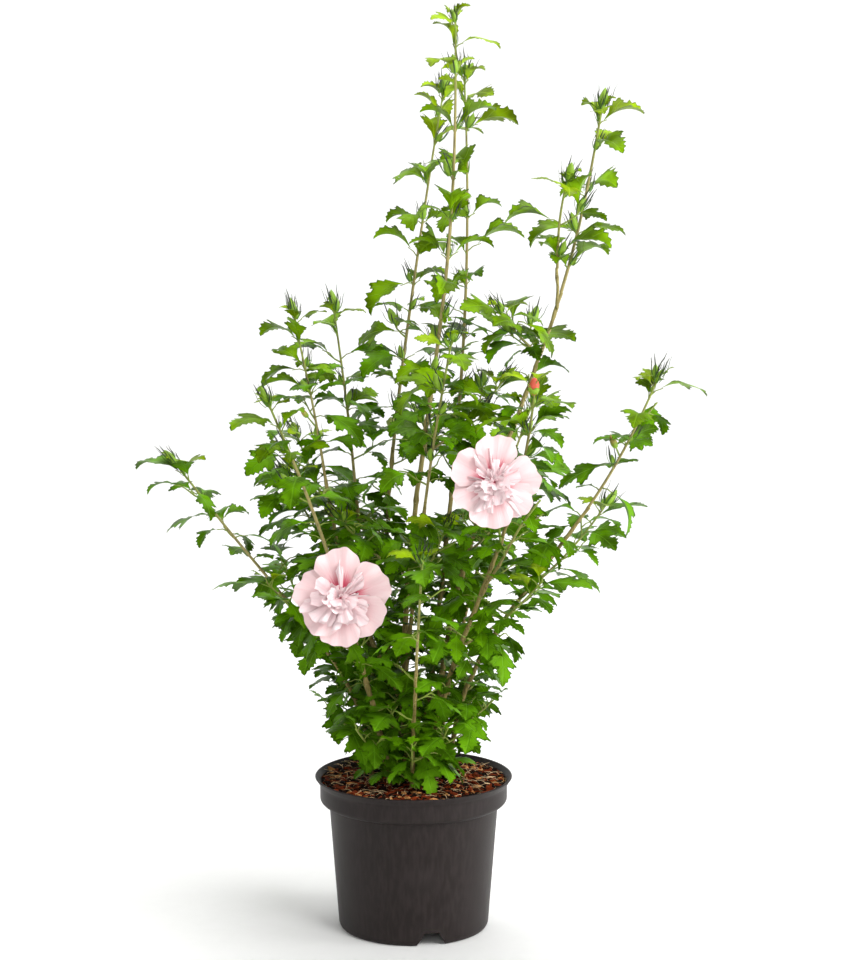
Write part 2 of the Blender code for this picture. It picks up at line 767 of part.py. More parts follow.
def make_leading_spray(cane, space, section, home, bench):
    """The spray that carries a cane on to its tip."""
    last = LEADING_RINGS - 1
    shares = [cane.bare + (1 - cane.bare) * k / last for k in range(LEADING_RINGS)]
    points = [cane_point(cane, s) for s in shares]
    points[0] = points[0] + (points[1] - points[0]).normalized() * GAP
    radii = [cane_radius(cane, s) for s in shares]
    tip = Vector(cane.tip)
    outward = math.atan2(tip.y - cane_start(cane).y, tip.x - cane_start(cane).x)
    return Spray(f"foliage_{cane.name}_top", points, radii, outward, space, section, home, bench)


def side_stem(azimuth, length):
    """Points of a shoot, from its root, that leaves sideways and turns up."""
    out = heading(azimuth, 0.0)
    shares = [k / (SIDE_RINGS - 1) for k in range(SIDE_RINGS)]
    return [out * (0.85 * length * s) + Vector((0, 0, length * (0.45 * s + 0.25 * s * s)))
            for s in shares]


def make_side_spray(cane, index, limbs, space, section, home, bench):
    """A spray on a shoot from the side of a cane, turned aside where that is blocked."""
    share, degrees, length = cane.sides[index]
    for turn in STEM_TRIES:
        azimuth = math.radians(degrees + turn)
        offsets = side_stem(azimuth, length)
        start = stem_start(cane, share, offsets[1].normalized(), SIDE_STEM_RADIUS, limbs)
        points = [start + offset for offset in offsets]
        first = points[0].lerp(points[1], 0.3)
        around = [SIDE_STEM_RADIUS + TWIG_CLEARANCE] * SIDE_RINGS
        guard = tube("guard", [first] + points[1:], around, bench, section)
        free = space.is_free(guard.data, guard.matrix_world)
        bpy.data.objects.remove(guard, do_unlink=True)
        if free:
            break
    thinning = (SIDE_STEM_RADIUS - SHOOT_RADIUS) / (SIDE_RINGS - 1)
    radii = [SIDE_STEM_RADIUS - thinning * k for k in range(SIDE_RINGS)]
    name = f"foliage_{cane.name}_{index + 1}"
    return Spray(name, points, radii, azimuth, space, section, home, bench)


# --- blooms -------------------------------------------------------------------

def corolla(name, radius, matrix, home):
    """The five broad outer petals as one cupped disc with a scalloped rim."""
    work = bmesh.new()
    bmesh.ops.create_uvsphere(work, u_segments=4 * BLOOM_PETALS, v_segments=2, radius=1.0)
    for v in work.verts:
        if abs(v.co.z) > 0.5:
            v.co = (0.0, 0.0, math.copysign(0.5 * PETAL_THICKNESS, v.co.z) - PETAL_CUP)
            continue
        angle = math.atan2(v.co.y, v.co.x)
        lobe = abs(math.cos(0.5 * BLOOM_PETALS * angle))
        reach = radius * (1 - BLOOM_SCALLOP * (1 - lobe))
        v.co = (reach * math.cos(angle), reach * math.sin(angle), PETAL_CUP * lobe)
    return finished_petals(work, name, matrix, home)


def ruffle(name, reach, width, cup, matrix, home):
    """A thin cupped inner petal along +X from the bloom's middle."""
    work = bmesh.new()
    bmesh.ops.create_uvsphere(work, u_segments=8, v_segments=2, radius=1.0)
    for v in work.verts:
        x, y, z = v.co
        if abs(z) > 0.5:
            v.co = (0.55 * reach, 0.0, 0.3 * cup + math.copysign(0.5 * PETAL_THICKNESS, z))
            continue
        out = 0.5 + 0.5 * x
        spread = y * (0.45 + 0.55 * out)
        v.co = (reach * out, 0.5 * width * spread, cup * out * out)
    return finished_petals(work, name, matrix, home)


def finished_petals(work, name, matrix, home):
    mesh = bpy.data.meshes.new(name)
    work.to_mesh(mesh)
    work.free()
    made = new_object(name, mesh, home)
    made.matrix_world = matrix
    return made


def make_bloom(spec, limbs, space, section, home, bench):
    """Stalk, calyx, broad outer petals and a ruffled middle, fused into one body."""
    name = spec.name
    cane = cane_by_name(spec.cane)
    centre = Vector(spec.centre)
    face = Vector(spec.facing).normalized()
    back = centre - face * CALYX_LENGTH
    along = (back - cane_point(cane, spec.share)).normalized()
    start = stem_start(cane, spec.share, along, STALK_RADIUS, limbs)
    stem = tube(name, [start, start.lerp(back, 0.5), back,
                       back + face * 0.85 * CALYX_LENGTH],
                [STALK_RADIUS, STALK_RADIUS, 2 * STALK_RADIUS, 3.4 * STALK_RADIUS],
                home, section)
    frame = facing(centre, face, Vector((0.0, 0.0, 1.0)))
    outward = Matrix.Rotation(math.radians(90), 4, "Y")
    corolla(name + "_corolla", spec.radius, frame @ outward, bench)
    for k in range(BLOOM_RUFFLES):
        turn = Matrix.Rotation(math.radians(20 + 360 * k / BLOOM_RUFFLES), 4, "X")
        lean = Matrix.Rotation(math.radians(RUFFLE_LEAN_STEP * k - RUFFLE_LEAN), 4, "Y")
        ruffle(f"{name}_ruffle_{k}", spec.radius * RUFFLE_SIZE, spec.radius * RUFFLE_SIZE,
               -PETAL_CUP, frame @ turn @ lean, bench)
    work = bmesh.new()
    bmesh.ops.create_uvsphere(work, u_segments=6, v_segments=4, radius=HEART_RADIUS)
    mesh = bpy.data.meshes.new(name + "_heart")
    work.to_mesh(mesh)
    work.free()
    heart = new_object(name + "_heart", mesh, bench)
    heart.matrix_world = frame
    fuse(stem, bench, "petal")
    space.add_mesh(stem.data, Matrix(), name)
    room = bmesh.new()
    bmesh.ops.create_uvsphere(room, u_segments=16, v_segments=8, radius=1.0)
    keep_out = bpy.data.meshes.new("keep_out")
    room.to_mesh(keep_out)
    room.free()
    squash = Matrix.Diagonal((0.35 * spec.radius, 1.02 * spec.radius, 1.02 * spec.radius, 1.0))
    space.add_mesh(keep_out, frame @ squash, name)


# --- the whole shrub ----------------------------------------------------------

def main():
    clear_scene()
    shrub = new_collection("hibiscus_shrub")
    cutters = new_collection("cutters")
    bench = new_collection("bench")
    section = triangle_section()
    make_pot(shrub, cutters)
    make_soil(shrub)
    space = Space()
    limbs = {}
    for cane in CANES:
        if isinstance(cane.foot, Fork):
            seat_fork(cane, limbs)
        limbs[cane.name] = tree_of(make_cane(cane, shrub).data)
        shares = cane_shares(cane)
        guard = tube("guard", [cane_point(cane, s) for s in shares],
                     [cane_radius(cane, s) + TWIG_CLEARANCE for s in shares], bench)
        space.add_mesh(guard.data, guard.matrix_world, cane.name)
        bpy.data.objects.remove(guard, do_unlink=True)
    for spec in BLOOMS:
        make_bloom(spec, limbs, space, section, shrub, bench)
    leading = [make_leading_spray(cane, space, section, shrub, bench) for cane in CANES]
    side = [make_side_spray(cane, k, limbs, space, section, shrub, bench)
            for cane in CANES for k in range(len(cane.sides))]
    for spray in leading:
        spray.grow(LEADING_SPACING, twigs=2, twig_leaves=2, buds=2)
        fuse(spray.stem, bench, "leaf")
    for spray in side:
        low = spray.points[0].z < LOW_HEIGHT
        spray.grow(LOW_SPACING if low else SIDE_SPACING, twigs=4 if low else 2,
                   twig_leaves=4, buds=0)
        fuse(spray.stem, bench, "leaf")
    bpy.data.collections.remove(bench)
    bpy.data.objects.remove(section, do_unlink=True)
    for item in shrub.objects:
        for face in item.data.polygons:
            face.use_smooth = False


main()
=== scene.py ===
"""Hibiscus shrub in a nursery pot: bark, leaves, buds, blooms, pot and mulch.

Lengths are in metres. The pot stands on the XY plane, +Z is up and -Y is the front.
"""

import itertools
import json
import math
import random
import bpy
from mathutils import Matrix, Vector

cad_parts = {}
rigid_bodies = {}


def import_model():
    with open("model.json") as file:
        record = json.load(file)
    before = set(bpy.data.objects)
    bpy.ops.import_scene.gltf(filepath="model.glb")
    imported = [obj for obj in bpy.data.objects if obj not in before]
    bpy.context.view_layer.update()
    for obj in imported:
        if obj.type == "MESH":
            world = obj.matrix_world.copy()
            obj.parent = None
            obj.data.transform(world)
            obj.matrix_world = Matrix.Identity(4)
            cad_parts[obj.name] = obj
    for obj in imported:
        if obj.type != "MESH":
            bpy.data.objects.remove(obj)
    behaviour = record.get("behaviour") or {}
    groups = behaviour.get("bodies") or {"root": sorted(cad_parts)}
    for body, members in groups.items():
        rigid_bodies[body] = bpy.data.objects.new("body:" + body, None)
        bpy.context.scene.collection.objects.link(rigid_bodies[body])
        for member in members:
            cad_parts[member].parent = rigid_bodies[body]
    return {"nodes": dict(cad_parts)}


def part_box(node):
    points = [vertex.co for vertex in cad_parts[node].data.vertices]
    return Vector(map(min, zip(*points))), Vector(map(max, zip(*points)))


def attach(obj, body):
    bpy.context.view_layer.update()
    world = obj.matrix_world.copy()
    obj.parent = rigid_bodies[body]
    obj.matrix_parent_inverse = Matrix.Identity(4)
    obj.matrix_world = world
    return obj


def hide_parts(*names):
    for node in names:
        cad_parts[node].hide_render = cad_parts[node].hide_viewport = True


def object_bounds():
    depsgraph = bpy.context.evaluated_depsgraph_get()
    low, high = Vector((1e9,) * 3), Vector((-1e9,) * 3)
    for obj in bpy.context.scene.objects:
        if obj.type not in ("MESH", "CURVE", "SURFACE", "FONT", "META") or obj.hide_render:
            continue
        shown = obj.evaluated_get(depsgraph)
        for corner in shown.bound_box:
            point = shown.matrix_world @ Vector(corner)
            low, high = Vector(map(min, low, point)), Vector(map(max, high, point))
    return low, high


bl_info = {
    "name": "Potted Hibiscus Shrub",
    "version": (1, 0, 0),
    "blender": (4, 5, 0),
    "location": "3D View > Sidebar > Hibiscus",
    "description": "Builds a flowering hibiscus shrub in a plastic nursery pot",
    "category": "Add Mesh",
}

from collections import namedtuple

import bmesh
import bpy
from bpy.props import (FloatProperty, FloatVectorProperty, IntProperty, PointerProperty)
from mathutils import Matrix, Vector, noise
from mathutils.bvhtree import BVHTree

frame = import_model()
CAD_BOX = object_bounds()
POT_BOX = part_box("pot")
SOIL_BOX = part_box("potting_soil")

SEED = 11
LITTER_SHAPES = 6           # shapes of chip, and of fibre
SOIL_LEVEL = SOIL_BOX[1].z
CROWN_TOP = CAD_BOX[1][2]
GOLDEN_ANGLE = math.radians(137.5)
UP = Vector((0.0, 0.0, 1.0))


def linear(hex_colour):
    """An sRGB hex colour as linear red, green and blue."""
    channels = [int(hex_colour[i:i + 2], 16) / 255 for i in (0, 2, 4)]
    return tuple(c / 12.92 if c <= 0.04045 else ((c + 0.055) / 1.055) ** 2.4 for c in channels)


def shaded(colour, factor, lift=0.0):
    """A colour made darker or lighter, and lifted a little towards white."""
    return tuple(lift + factor * c for c in colour)


# --- what a user would change -------------------------------------------------

def length_setting(name, description, default):
    return FloatProperty(name=name, description=description, default=default, min=0.0,
                         subtype="DISTANCE", unit="LENGTH")


def colour_setting(name, description, hex_colour):
    return FloatVectorProperty(name=name, description=description, subtype="COLOR", size=3,
                               min=0.0, max=1.0, default=linear(hex_colour))


def share_setting(name, description, default):
    return FloatProperty(name=name, description=description, default=default, min=0.0,
                         max=1.0, subtype="FACTOR")


class PotSettings(bpy.types.PropertyGroup):
    height: length_setting("Height", "Height of the pot", POT_BOX[1].z)
    rim: length_setting("Rim radius", "Outside of the rolled lip", POT_BOX[1].x)
    band: length_setting("Band radius", "Outside of the band under the lip", 0.109)
    band_height: length_setting("Band height", "Height of the lip and its band", 0.032)
    shoulder: length_setting("Shoulder radius", "Outside of the wall under the band", 0.0985)
    base: length_setting("Base radius", "Outside of the wall at the foot", 0.0875)
    wall: length_setting("Wall", "Thickness of the wall", 0.0018)
    colour: colour_setting("Colour", "Colour of the plastic", "1F1817")


class MulchSettings(bpy.types.PropertyGroup):
    heap: length_setting("Heap", "Height of the mulch over the soil", 0.0060)
    longest: length_setting("Longest chip", "Length of the longest bark chips", 0.017)
    shortest: length_setting("Shortest chip", "Length of the shortest bark chips", 0.006)
    density: FloatProperty(name="Chips", description="Bark chips on a square metre",
                           default=60000.0, min=0.0)
    fibres: FloatProperty(name="Fibres", description="Loose fibres on a square metre",
                          default=16000.0, min=0.0)
    dark: colour_setting("Wet bark", "Colour of the darkest chips", "1A0A04")
    middle: colour_setting("Bark", "Colour of most chips", "762E0F")
    light: colour_setting("Torn bark", "Colour of freshly broken chips", "C78A52")
    fibre: colour_setting("Fibre", "Colour of the loose fibres", "E8C89C")


class WoodSettings(bpy.types.PropertyGroup):
    relief: length_setting("Relief", "Depth of the bark's furrows", 0.0006)
    joint: length_setting("Joint spacing", "Distance between two leaf joints", 0.030)
    swelling: share_setting("Swelling", "How much a joint is thicker than the wood", 0.30)
    old: colour_setting("Old bark", "Colour of the bark near the soil", "8C7C44")
    young: colour_setting("Young bark", "Colour of the bark high up", "9C9058")
    shoot: colour_setting("Shoot", "Colour of the green shoots", "84993A")


class LeafSettings(bpy.types.PropertyGroup):
    low: length_setting("Low leaves", "Length with its stalk near the pot", 0.074)
    high: length_setting("High leaves", "Length with its stalk near the top", 0.075)
    stalk: share_setting("Stalk", "Share of a leaf that is its stalk", 0.20)
    tip: colour_setting("Tip leaves", "Colour of the youngest leaves", "8BAA08")
    young: colour_setting("Young leaves", "Colour of the upper leaves", "6C9306")
    mature: colour_setting("Mature leaves", "Colour of most leaves", "588806")
    deep: colour_setting("Old leaves", "Colour of the lowest leaves", "58890E")


class BudSettings(bpy.types.PropertyGroup):
    calyx: length_setting("Calyx", "Length of a full bud", 0.019)
    bract: length_setting("Bracts", "Length of the thin bracts round a bud", 0.028)
    bracts: IntProperty(name="Bracts", description="Bracts round each bud", default=5, min=3)
    green: colour_setting("Calyx", "Colour of the calyx", "8BB22E")
    bract_colour: colour_setting("Bract", "Colour of the bracts", "54801C")
    dark: colour_setting("Bract tip", "Colour of the bracts near their tips", "27301E")
    coral: colour_setting("Opening bud", "Colour of the rolled petals", "E9654E")
    faded: colour_setting("Faded bud", "Colour of the buds that have dried", "B59A52")
    spent: colour_setting("Spent calyx", "Colour of a calyx after its bloom", "B7C46A")
    withered: colour_setting("Withered leaf", "Colour of a leaf about to drop", "C2702A")


class BloomSettings(bpy.types.PropertyGroup):
    rim: colour_setting("Petal", "Colour of the petals", "F4D8D9")
    middle: colour_setting("Inner petals", "Colour of the ruffled middle", "F9E3E5")
    throat: colour_setting("Throat", "Colour of the streaks in the throat", "D9536F")


class StudioSettings(bpy.types.PropertyGroup):
    floor: colour_setting("Floor", "Colour of the studio floor", "FAFAF9")
    key: FloatProperty(name="Key light", description="Power of the large soft light",
                       default=59.0, min=0.0, unit="POWER")
    fill: FloatProperty(name="Fill", description="Strength of the light from all round",
                        default=0.28, min=0.0)


SETTINGS = {
    "hibiscus_pot": PotSettings,
    "hibiscus_mulch": MulchSettings,
    "hibiscus_wood": WoodSettings,
    "hibiscus_leaves": LeafSettings,
    "hibiscus_buds": BudSettings,
    "hibiscus_blooms": BloomSettings,
    "hibiscus_studio": StudioSettings,
}


# --- materials ----------------------------------------------------------------

def add_node(tree, kind, inputs=None, **settings):
    """Adds a node. inputs gives its sockets a value, a colour or another node's socket."""
    made = tree.nodes.new(kind)
    for name, value in settings.items():
        setattr(made, name, value)
    for key, value in (inputs or {}).items():
        socket = made.inputs[key]
        if isinstance(value, bpy.types.NodeSocket):
            tree.links.new(value, socket)
        else:
            socket.default_value = (*value, 1.0) if socket.type == "RGBA" else value
    return made


def new_material(name, roughness, ior=1.5, **uniform):
    """A material with its shader, whose uniform values sit on the shader's own sockets."""
    made = bpy.data.materials.new(name)
    made.use_nodes = True
    shader = made.node_tree.nodes["Principled BSDF"]
    shader.inputs["Roughness"].default_value = roughness
    shader.inputs["IOR"].default_value = ior
    for key, value in uniform.items():
        shader.inputs[key.replace("_", " ")].default_value = value
    return made, made.node_tree, shader


def graded(tree, pattern, low, high, first, second, most=1.0):
    """The first colour where a pattern is at low. Where it is at high, the second colour
    covers a share of the first, which most gives."""
    share = add_node(tree, "ShaderNodeMapRange", {0: pattern, 1: low, 2: high, 4: most},
                     interpolation_type="SMOOTHSTEP")
    return add_node(tree, "ShaderNodeMix", {0: share.outputs[0], 6: first, 7: second},
                    data_type="RGBA").outputs[2]


def speckle(tree, size, detail=2.0, stretch=(1.0, 1.0, 1.0), place=None):
    """Noise whose lumps are about size across, in metres."""
    source = place or add_node(tree, "ShaderNodeTexCoord").outputs["Object"]
    spread = add_node(tree, "ShaderNodeMapping", {"Vector": source, "Scale": stretch})
    return add_node(tree, "ShaderNodeTexNoise", {"Vector": spread.outputs[0],
                    "Scale": 1.0 / size, "Detail": detail}).outputs["Fac"]


def dress(tree, shader, colour, height, depth):
    """Gives a shader its colour, and a relief of some depth, in metres."""
    bump = add_node(tree, "ShaderNodeBump", {"Height": height, "Distance": depth,
                    "Strength": 1.0})
    tree.links.new(colour, shader.inputs["Base Color"])
    tree.links.new(bump.outputs[0], shader.inputs["Normal"])


def moulded_polypropylene(colour):
    # Recycled polypropylene, injection moulded: nearly black, a soft satin sheen, a mould
    # grain of 0.9 mm, faint upright flow streaks and patches of grey dust.
    made, tree, shader = new_material("moulded polypropylene", 0.5, 1.49,
                                      Specular_IOR_Level=0.2)
    streaks = speckle(tree, 0.004, 4.0, (1.0, 1.0, 0.20))
    dust = speckle(tree, 0.05, 4.0)
    grain = speckle(tree, 0.0009, 1.0)
    body = graded(tree, streaks, 0.35, 0.7, colour, shaded(colour, 1.3, 0.004))
    dusty = graded(tree, dust, 0.45, 0.75, body, shaded(colour, 1.2, 0.010), most=0.35)
    dress(tree, shader, dusty, grain, 0.00008)
    rough = add_node(tree, "ShaderNodeMapRange", {0: streaks, 3: 0.38, 4: 0.60})
    tree.links.new(rough.outputs[0], shader.inputs["Roughness"])
    return made


def composted_bark(name, colour):
    # Composted pine bark: matt and fibrous, with dark pits about 1.5 mm across and patches
    # of 6 mm that dried lighter.
    made, tree, shader = new_material(name, 0.9, 1.45, Specular_IOR_Level=0.15)
    patches = speckle(tree, 0.006, 1.0)
    pits = speckle(tree, 0.0015, 3.0)
    dry = graded(tree, patches, 0.4, 0.65, shaded(colour, 0.75), shaded(colour, 1.25))
    pitted = graded(tree, pits, 0.52, 0.72, dry, shaded(colour, 0.3))
    dress(tree, shader, pitted, pits, 0.0006)
    return made


def hibiscus_bark(name, low, high, bottom, top):
    # Smooth young bark: fine upright furrows about 1.5 mm apart and pale corky specks 4 mm
    # apart, grey-brown near the soil and greener where the wood is young.
    made, tree, shader = new_material(name, 0.75, 1.45)
    place = add_node(tree, "ShaderNodeTexCoord").outputs["Object"]
    height = add_node(tree, "ShaderNodeSeparateXYZ", {0: place}).outputs[2]
    furrows = speckle(tree, 0.0015, 3.0, (1.0, 1.0, 0.12), place)
    specks = add_node(tree, "ShaderNodeTexVoronoi", {"Vector": place, "Scale": 1 / 0.004})
    wood = graded(tree, height, bottom, top, low, high)
    furrowed = graded(tree, furrows, 0.48, 0.7, wood, shaded(low, 0.45))
    corky = graded(tree, specks.outputs["Distance"], 0.22, 0.10, furrowed,
                   shaded(high, 1.25, 0.06))
    dress(tree, shader, corky, furrows, 0.0003)
    return made


def green_bark(woody, green):
    # Shoots and leaf stalks: olive-tan and slightly furrowed where they are thick, and
    # smooth green where they are under 1.5 mm in radius.
    made, tree, shader = new_material("green hibiscus bark", 0.6, 1.45)
    thick = add_node(tree, "ShaderNodeAttribute", attribute_name="thickness").outputs["Fac"]
    furrows = speckle(tree, 0.002, 3.0, (1.0, 1.0, 0.15))
    skin = graded(tree, thick, 0.0011, 0.0017, green, woody)
    furrowed = graded(tree, furrows, 0.5, 0.7, skin, shaded(woody, 0.5))
    dress(tree, shader, furrowed, furrows, 0.0002)
    return made


def leaf_blade(name, colour):
    # A living leaf: a waxy upper skin with a soft gloss, a paler midrib, sunk side veins, a
    # darker margin that is painted shade, and a colour that drifts a little over each blade. The
    # veins are drawn 1 to 2 mm wide and 0.4 mm deep, coarser than real ones, so that they show.
    made, tree, shader = new_material(
        name, 0.40, 1.45, Specular_IOR_Level=0.14, Specular_Tint=(0.80, 1.0, 0.15, 1.0))
    uv = add_node(tree, "ShaderNodeUVMap", uv_map="leaf")
    parts = add_node(tree, "ShaderNodeSeparateXYZ", {0: uv.outputs[0]})
    across = add_node(tree, "ShaderNodeMath", {0: parts.outputs[1], 1: 0.5},
                      operation="SUBTRACT").outputs[0]
    side = add_node(tree, "ShaderNodeMath", {0: across}, operation="ABSOLUTE").outputs[0]
    leaning = add_node(tree, "ShaderNodeMath", {0: side, 1: -1.1, 2: parts.outputs[0]},
                       operation="MULTIPLY_ADD").outputs[0]
    # pairs of side veins, 0.26 of the blade apart
    wave = add_node(tree, "ShaderNodeMath", {0: leaning, 1: 0.13},
                    operation="PINGPONG").outputs[0]
    midrib, side_veins = (
        add_node(tree, "ShaderNodeMapRange", {0: away, 1: edge, 2: middle},
                 interpolation_type="SMOOTHSTEP").outputs[0]
        for away, edge, middle in ((side, 0.022, 0.006), (wave, 0.016, 0.0)))
    veins = add_node(tree, "ShaderNodeMath", {0: side_veins, 1: midrib},
                     operation="MAXIMUM").outputs[0]
    body = graded(tree, speckle(tree, 0.03, 2.0), 0.35, 0.65, shaded(colour, 0.50),
                  shaded(colour, 1.30))
    faint = add_node(tree, "ShaderNodeMath", {0: veins, 1: 0.45}, operation="MULTIPLY")
    veined = add_node(tree, "ShaderNodeMix", {0: faint.outputs[0], 6: body,
                      7: shaded(colour, 1.4, 0.01)}, data_type="RGBA").outputs[2]
    # painted shade: the blade darkens to about a third of its colour towards its rim, a dark
    # outline of shade along the edge
    rim = add_node(tree, "ShaderNodeUVMap", uv_map="margin")
    outer = add_node(tree, "ShaderNodeSeparateXYZ", {0: rim.outputs[0]}).outputs[0]
    margin_painted_shade = graded(tree, outer, 0.70, 1.0, veined, shaded(colour, 0.35))
    sunk = add_node(tree, "ShaderNodeMath", {0: veins, 1: -1.0}, operation="MULTIPLY")
    dress(tree, shader, margin_painted_shade, sunk.outputs[0], 0.0004)
    return made


def bud_skin(name, colour, tip, start=0.6):
    # Calyx and bracts: thin green skin with a dull gloss, which turns to the tip's colour
    # from about the start, a share of its length.
    made, tree, shader = new_material(name, 0.5, 1.45)
    uv = add_node(tree, "ShaderNodeUVMap", uv_map="bud")
    along = add_node(tree, "ShaderNodeSeparateXYZ", {0: uv.outputs[0]}).outputs[0]
    ragged = add_node(tree, "ShaderNodeMath", {0: speckle(tree, 0.006, 3.0), 1: 0.5,
                      2: along}, operation="MULTIPLY_ADD").outputs[0]
    skin = graded(tree, ragged, start + 0.1, start + 0.6, colour, tip)
    dress(tree, shader, skin, speckle(tree, 0.001, 2.0), 0.0002)
    return made


def petal_tissue(name, colour, throat, streak_end, flush_and_shade):
    # Crepe-like petals: pale pink with a velvety sheen, deeper pink towards the claw that is
    # partly the petal's own colour and partly painted pink shade, fine veins that fan out from
    # the claw, and deep pink streaks near the throat.
    made, tree, shader = new_material(
        name, 0.6, 1.4, Sheen_Weight=0.25, Sheen_Roughness=0.4, Subsurface_Weight=0.20,
        Subsurface_Radius=(1.0, 1.0, 1.0), Subsurface_Scale=0.003)
    uv = add_node(tree, "ShaderNodeUVMap", uv_map="petal")
    out = add_node(tree, "ShaderNodeSeparateXYZ", {0: uv.outputs[0]}).outputs[1]
    fan = add_node(tree, "ShaderNodeMapping", {"Vector": uv.outputs[0],
                   "Scale": (26.0, 1.6, 1.0)})
    veins = add_node(tree, "ShaderNodeTexNoise", {"Vector": fan.outputs[0], "Scale": 1.0,
                     "Detail": 2.0}).outputs["Fac"]
    reach = add_node(tree, "ShaderNodeMapRange", {0: veins, 3: 0.6 * streak_end,
                     4: 1.5 * streak_end}).outputs[0]
    near = add_node(tree, "ShaderNodeMath", {0: out, 1: reach}, operation="DIVIDE").outputs[0]
    # painted shade: towards the claw the colour turns partly to the throat's pink, partly the
    # petal's own pink and partly painted pink shade, so that the crowded bases look pink in their
    # shade instead of grey
    blush_and_shade = graded(tree, out, 0.95, 0.15, colour, throat, most=flush_and_shade)
    veined = graded(tree, veins, 0.5, 0.7, blush_and_shade, throat, most=0.07)
    streaked = graded(tree, near, 1.0, 0.45, veined, throat)
    dress(tree, shader, streaked, veins, 0.0004)
    return made


def studio_paint(colour):
    # Matt studio paper: even and pale, with a barely visible fleck.
    made, tree, shader = new_material("matt studio paper", 0.9)
    flecked = graded(tree, speckle(tree, 0.02, 3.0), 0.3, 0.7, shaded(colour, 0.985), colour)
    tree.links.new(flecked, shader.inputs["Base Color"])
    return made


# --- geometry nodes and mesh helpers ------------------------------------------

def new_object(name, data):
    made = bpy.data.objects.new(name, data)
    bpy.context.scene.collection.objects.link(made)
    return made


def new_tree(name, sockets):
    """An empty modifier tree with its named inputs."""
    tree = bpy.data.node_groups.new(name, "GeometryNodeTree")
    tree.interface.new_socket("Geometry", in_out="INPUT", socket_type="NodeSocketGeometry")
    for label, kind in sockets:
        tree.interface.new_socket(label, in_out="INPUT", socket_type=f"NodeSocket{kind}")
    tree.interface.new_socket("Geometry", in_out="OUTPUT", socket_type="NodeSocketGeometry")
    return tree, add_node(tree, "NodeGroupInput").outputs


def end_tree(tree, geometry, material):
    """Makes the instances real, sets the material and closes the tree."""
    real = add_node(tree, "GeometryNodeRealizeInstances", {0: geometry})
    finish = add_node(tree, "GeometryNodeSetMaterial", {0: real.outputs[0], 2: material})
    add_node(tree, "NodeGroupOutput", {0: finish.outputs[0]})
    return tree


def end_with_shapes(tree, given, points, which, turn, size):
    """Sets one of the given shapes on each point, turned and sized, and closes the tree."""
    shapes = add_node(tree, "GeometryNodeCollectionInfo", {"Collection": given["Shapes"],
                      "Separate Children": True, "Reset Children": True})
    placed = add_node(tree, "GeometryNodeInstanceOnPoints", {
        "Points": points, "Instance": shapes.outputs[0], "Pick Instance": True,
        "Instance Index": which, "Rotation": turn, "Scale": size})
    return end_tree(tree, placed.outputs[0], given["Material"])


def stem_tree():
    """Sweeps a round stem along edges, with furrows pushed out along its normals."""
    tree, given = new_tree("stem sweep", (("Sides", "Int"), ("Relief", "Float"),
                                          ("Furrow", "Float"), ("Material", "Material")))
    line = add_node(tree, "GeometryNodeMeshToCurve", {0: given["Geometry"]})
    ring = add_node(tree, "GeometryNodeCurvePrimitiveCircle", {"Resolution": given["Sides"],
                    "Radius": 1.0})
    radius = add_node(tree, "GeometryNodeInputNamedAttribute", {0: "thickness"},
                      data_type="FLOAT")
    swept = add_node(tree, "GeometryNodeCurveToMesh", {"Curve": line.outputs[0],
                     "Profile Curve": ring.outputs[0], "Scale": radius.outputs[0],
                     "Fill Caps": True})
    place = add_node(tree, "GeometryNodeInputPosition").outputs[0]
    long = add_node(tree, "ShaderNodeVectorMath", {0: place, 1: (1.0, 1.0, 0.22)},
                    operation="MULTIPLY").outputs[0]
    per_metre = add_node(tree, "ShaderNodeMath", {0: 1.0, 1: given["Furrow"]},
                         operation="DIVIDE").outputs[0]
    lumps = add_node(tree, "ShaderNodeTexNoise", {"Vector": long, "Scale": per_metre,
                     "Detail": 2.0}).outputs["Fac"]
    middle = add_node(tree, "ShaderNodeMath", {0: lumps, 1: 0.5}, operation="SUBTRACT")
    depth = add_node(tree, "ShaderNodeMath", {0: middle.outputs[0], 1: given["Relief"]},
                     operation="MULTIPLY").outputs[0]
    normal = add_node(tree, "GeometryNodeInputNormal").outputs[0]
    push = add_node(tree, "ShaderNodeVectorMath", {0: normal, "Scale": depth},
                    operation="SCALE")
    rough = add_node(tree, "GeometryNodeSetPosition", {"Geometry": swept.outputs[0],
                     "Offset": push.outputs[0]})
    smooth = add_node(tree, "GeometryNodeSetShadeSmooth", {"Geometry": rough.outputs[0]})
    return end_tree(tree, smooth.outputs[0], given["Material"])


def sprig_tree():
    """Sets one of several shapes on each point, turned and sized by the point."""
    tree, given = new_tree("sprigs on points", (
        ("Shapes", "Collection"), ("Size", "Float"), ("Material", "Material")))
    own_size, which, turn = (
        add_node(tree, "GeometryNodeInputNamedAttribute", {0: name}, data_type=kind).outputs[0]
        for name, kind in (("size", "FLOAT"), ("shape", "INT"), ("turn", "FLOAT_VECTOR")))
    size = add_node(tree, "ShaderNodeMath", {0: own_size, 1: given["Size"]},
                    operation="MULTIPLY").outputs[0]
    return end_with_shapes(tree, given, given["Geometry"], which, turn, size)


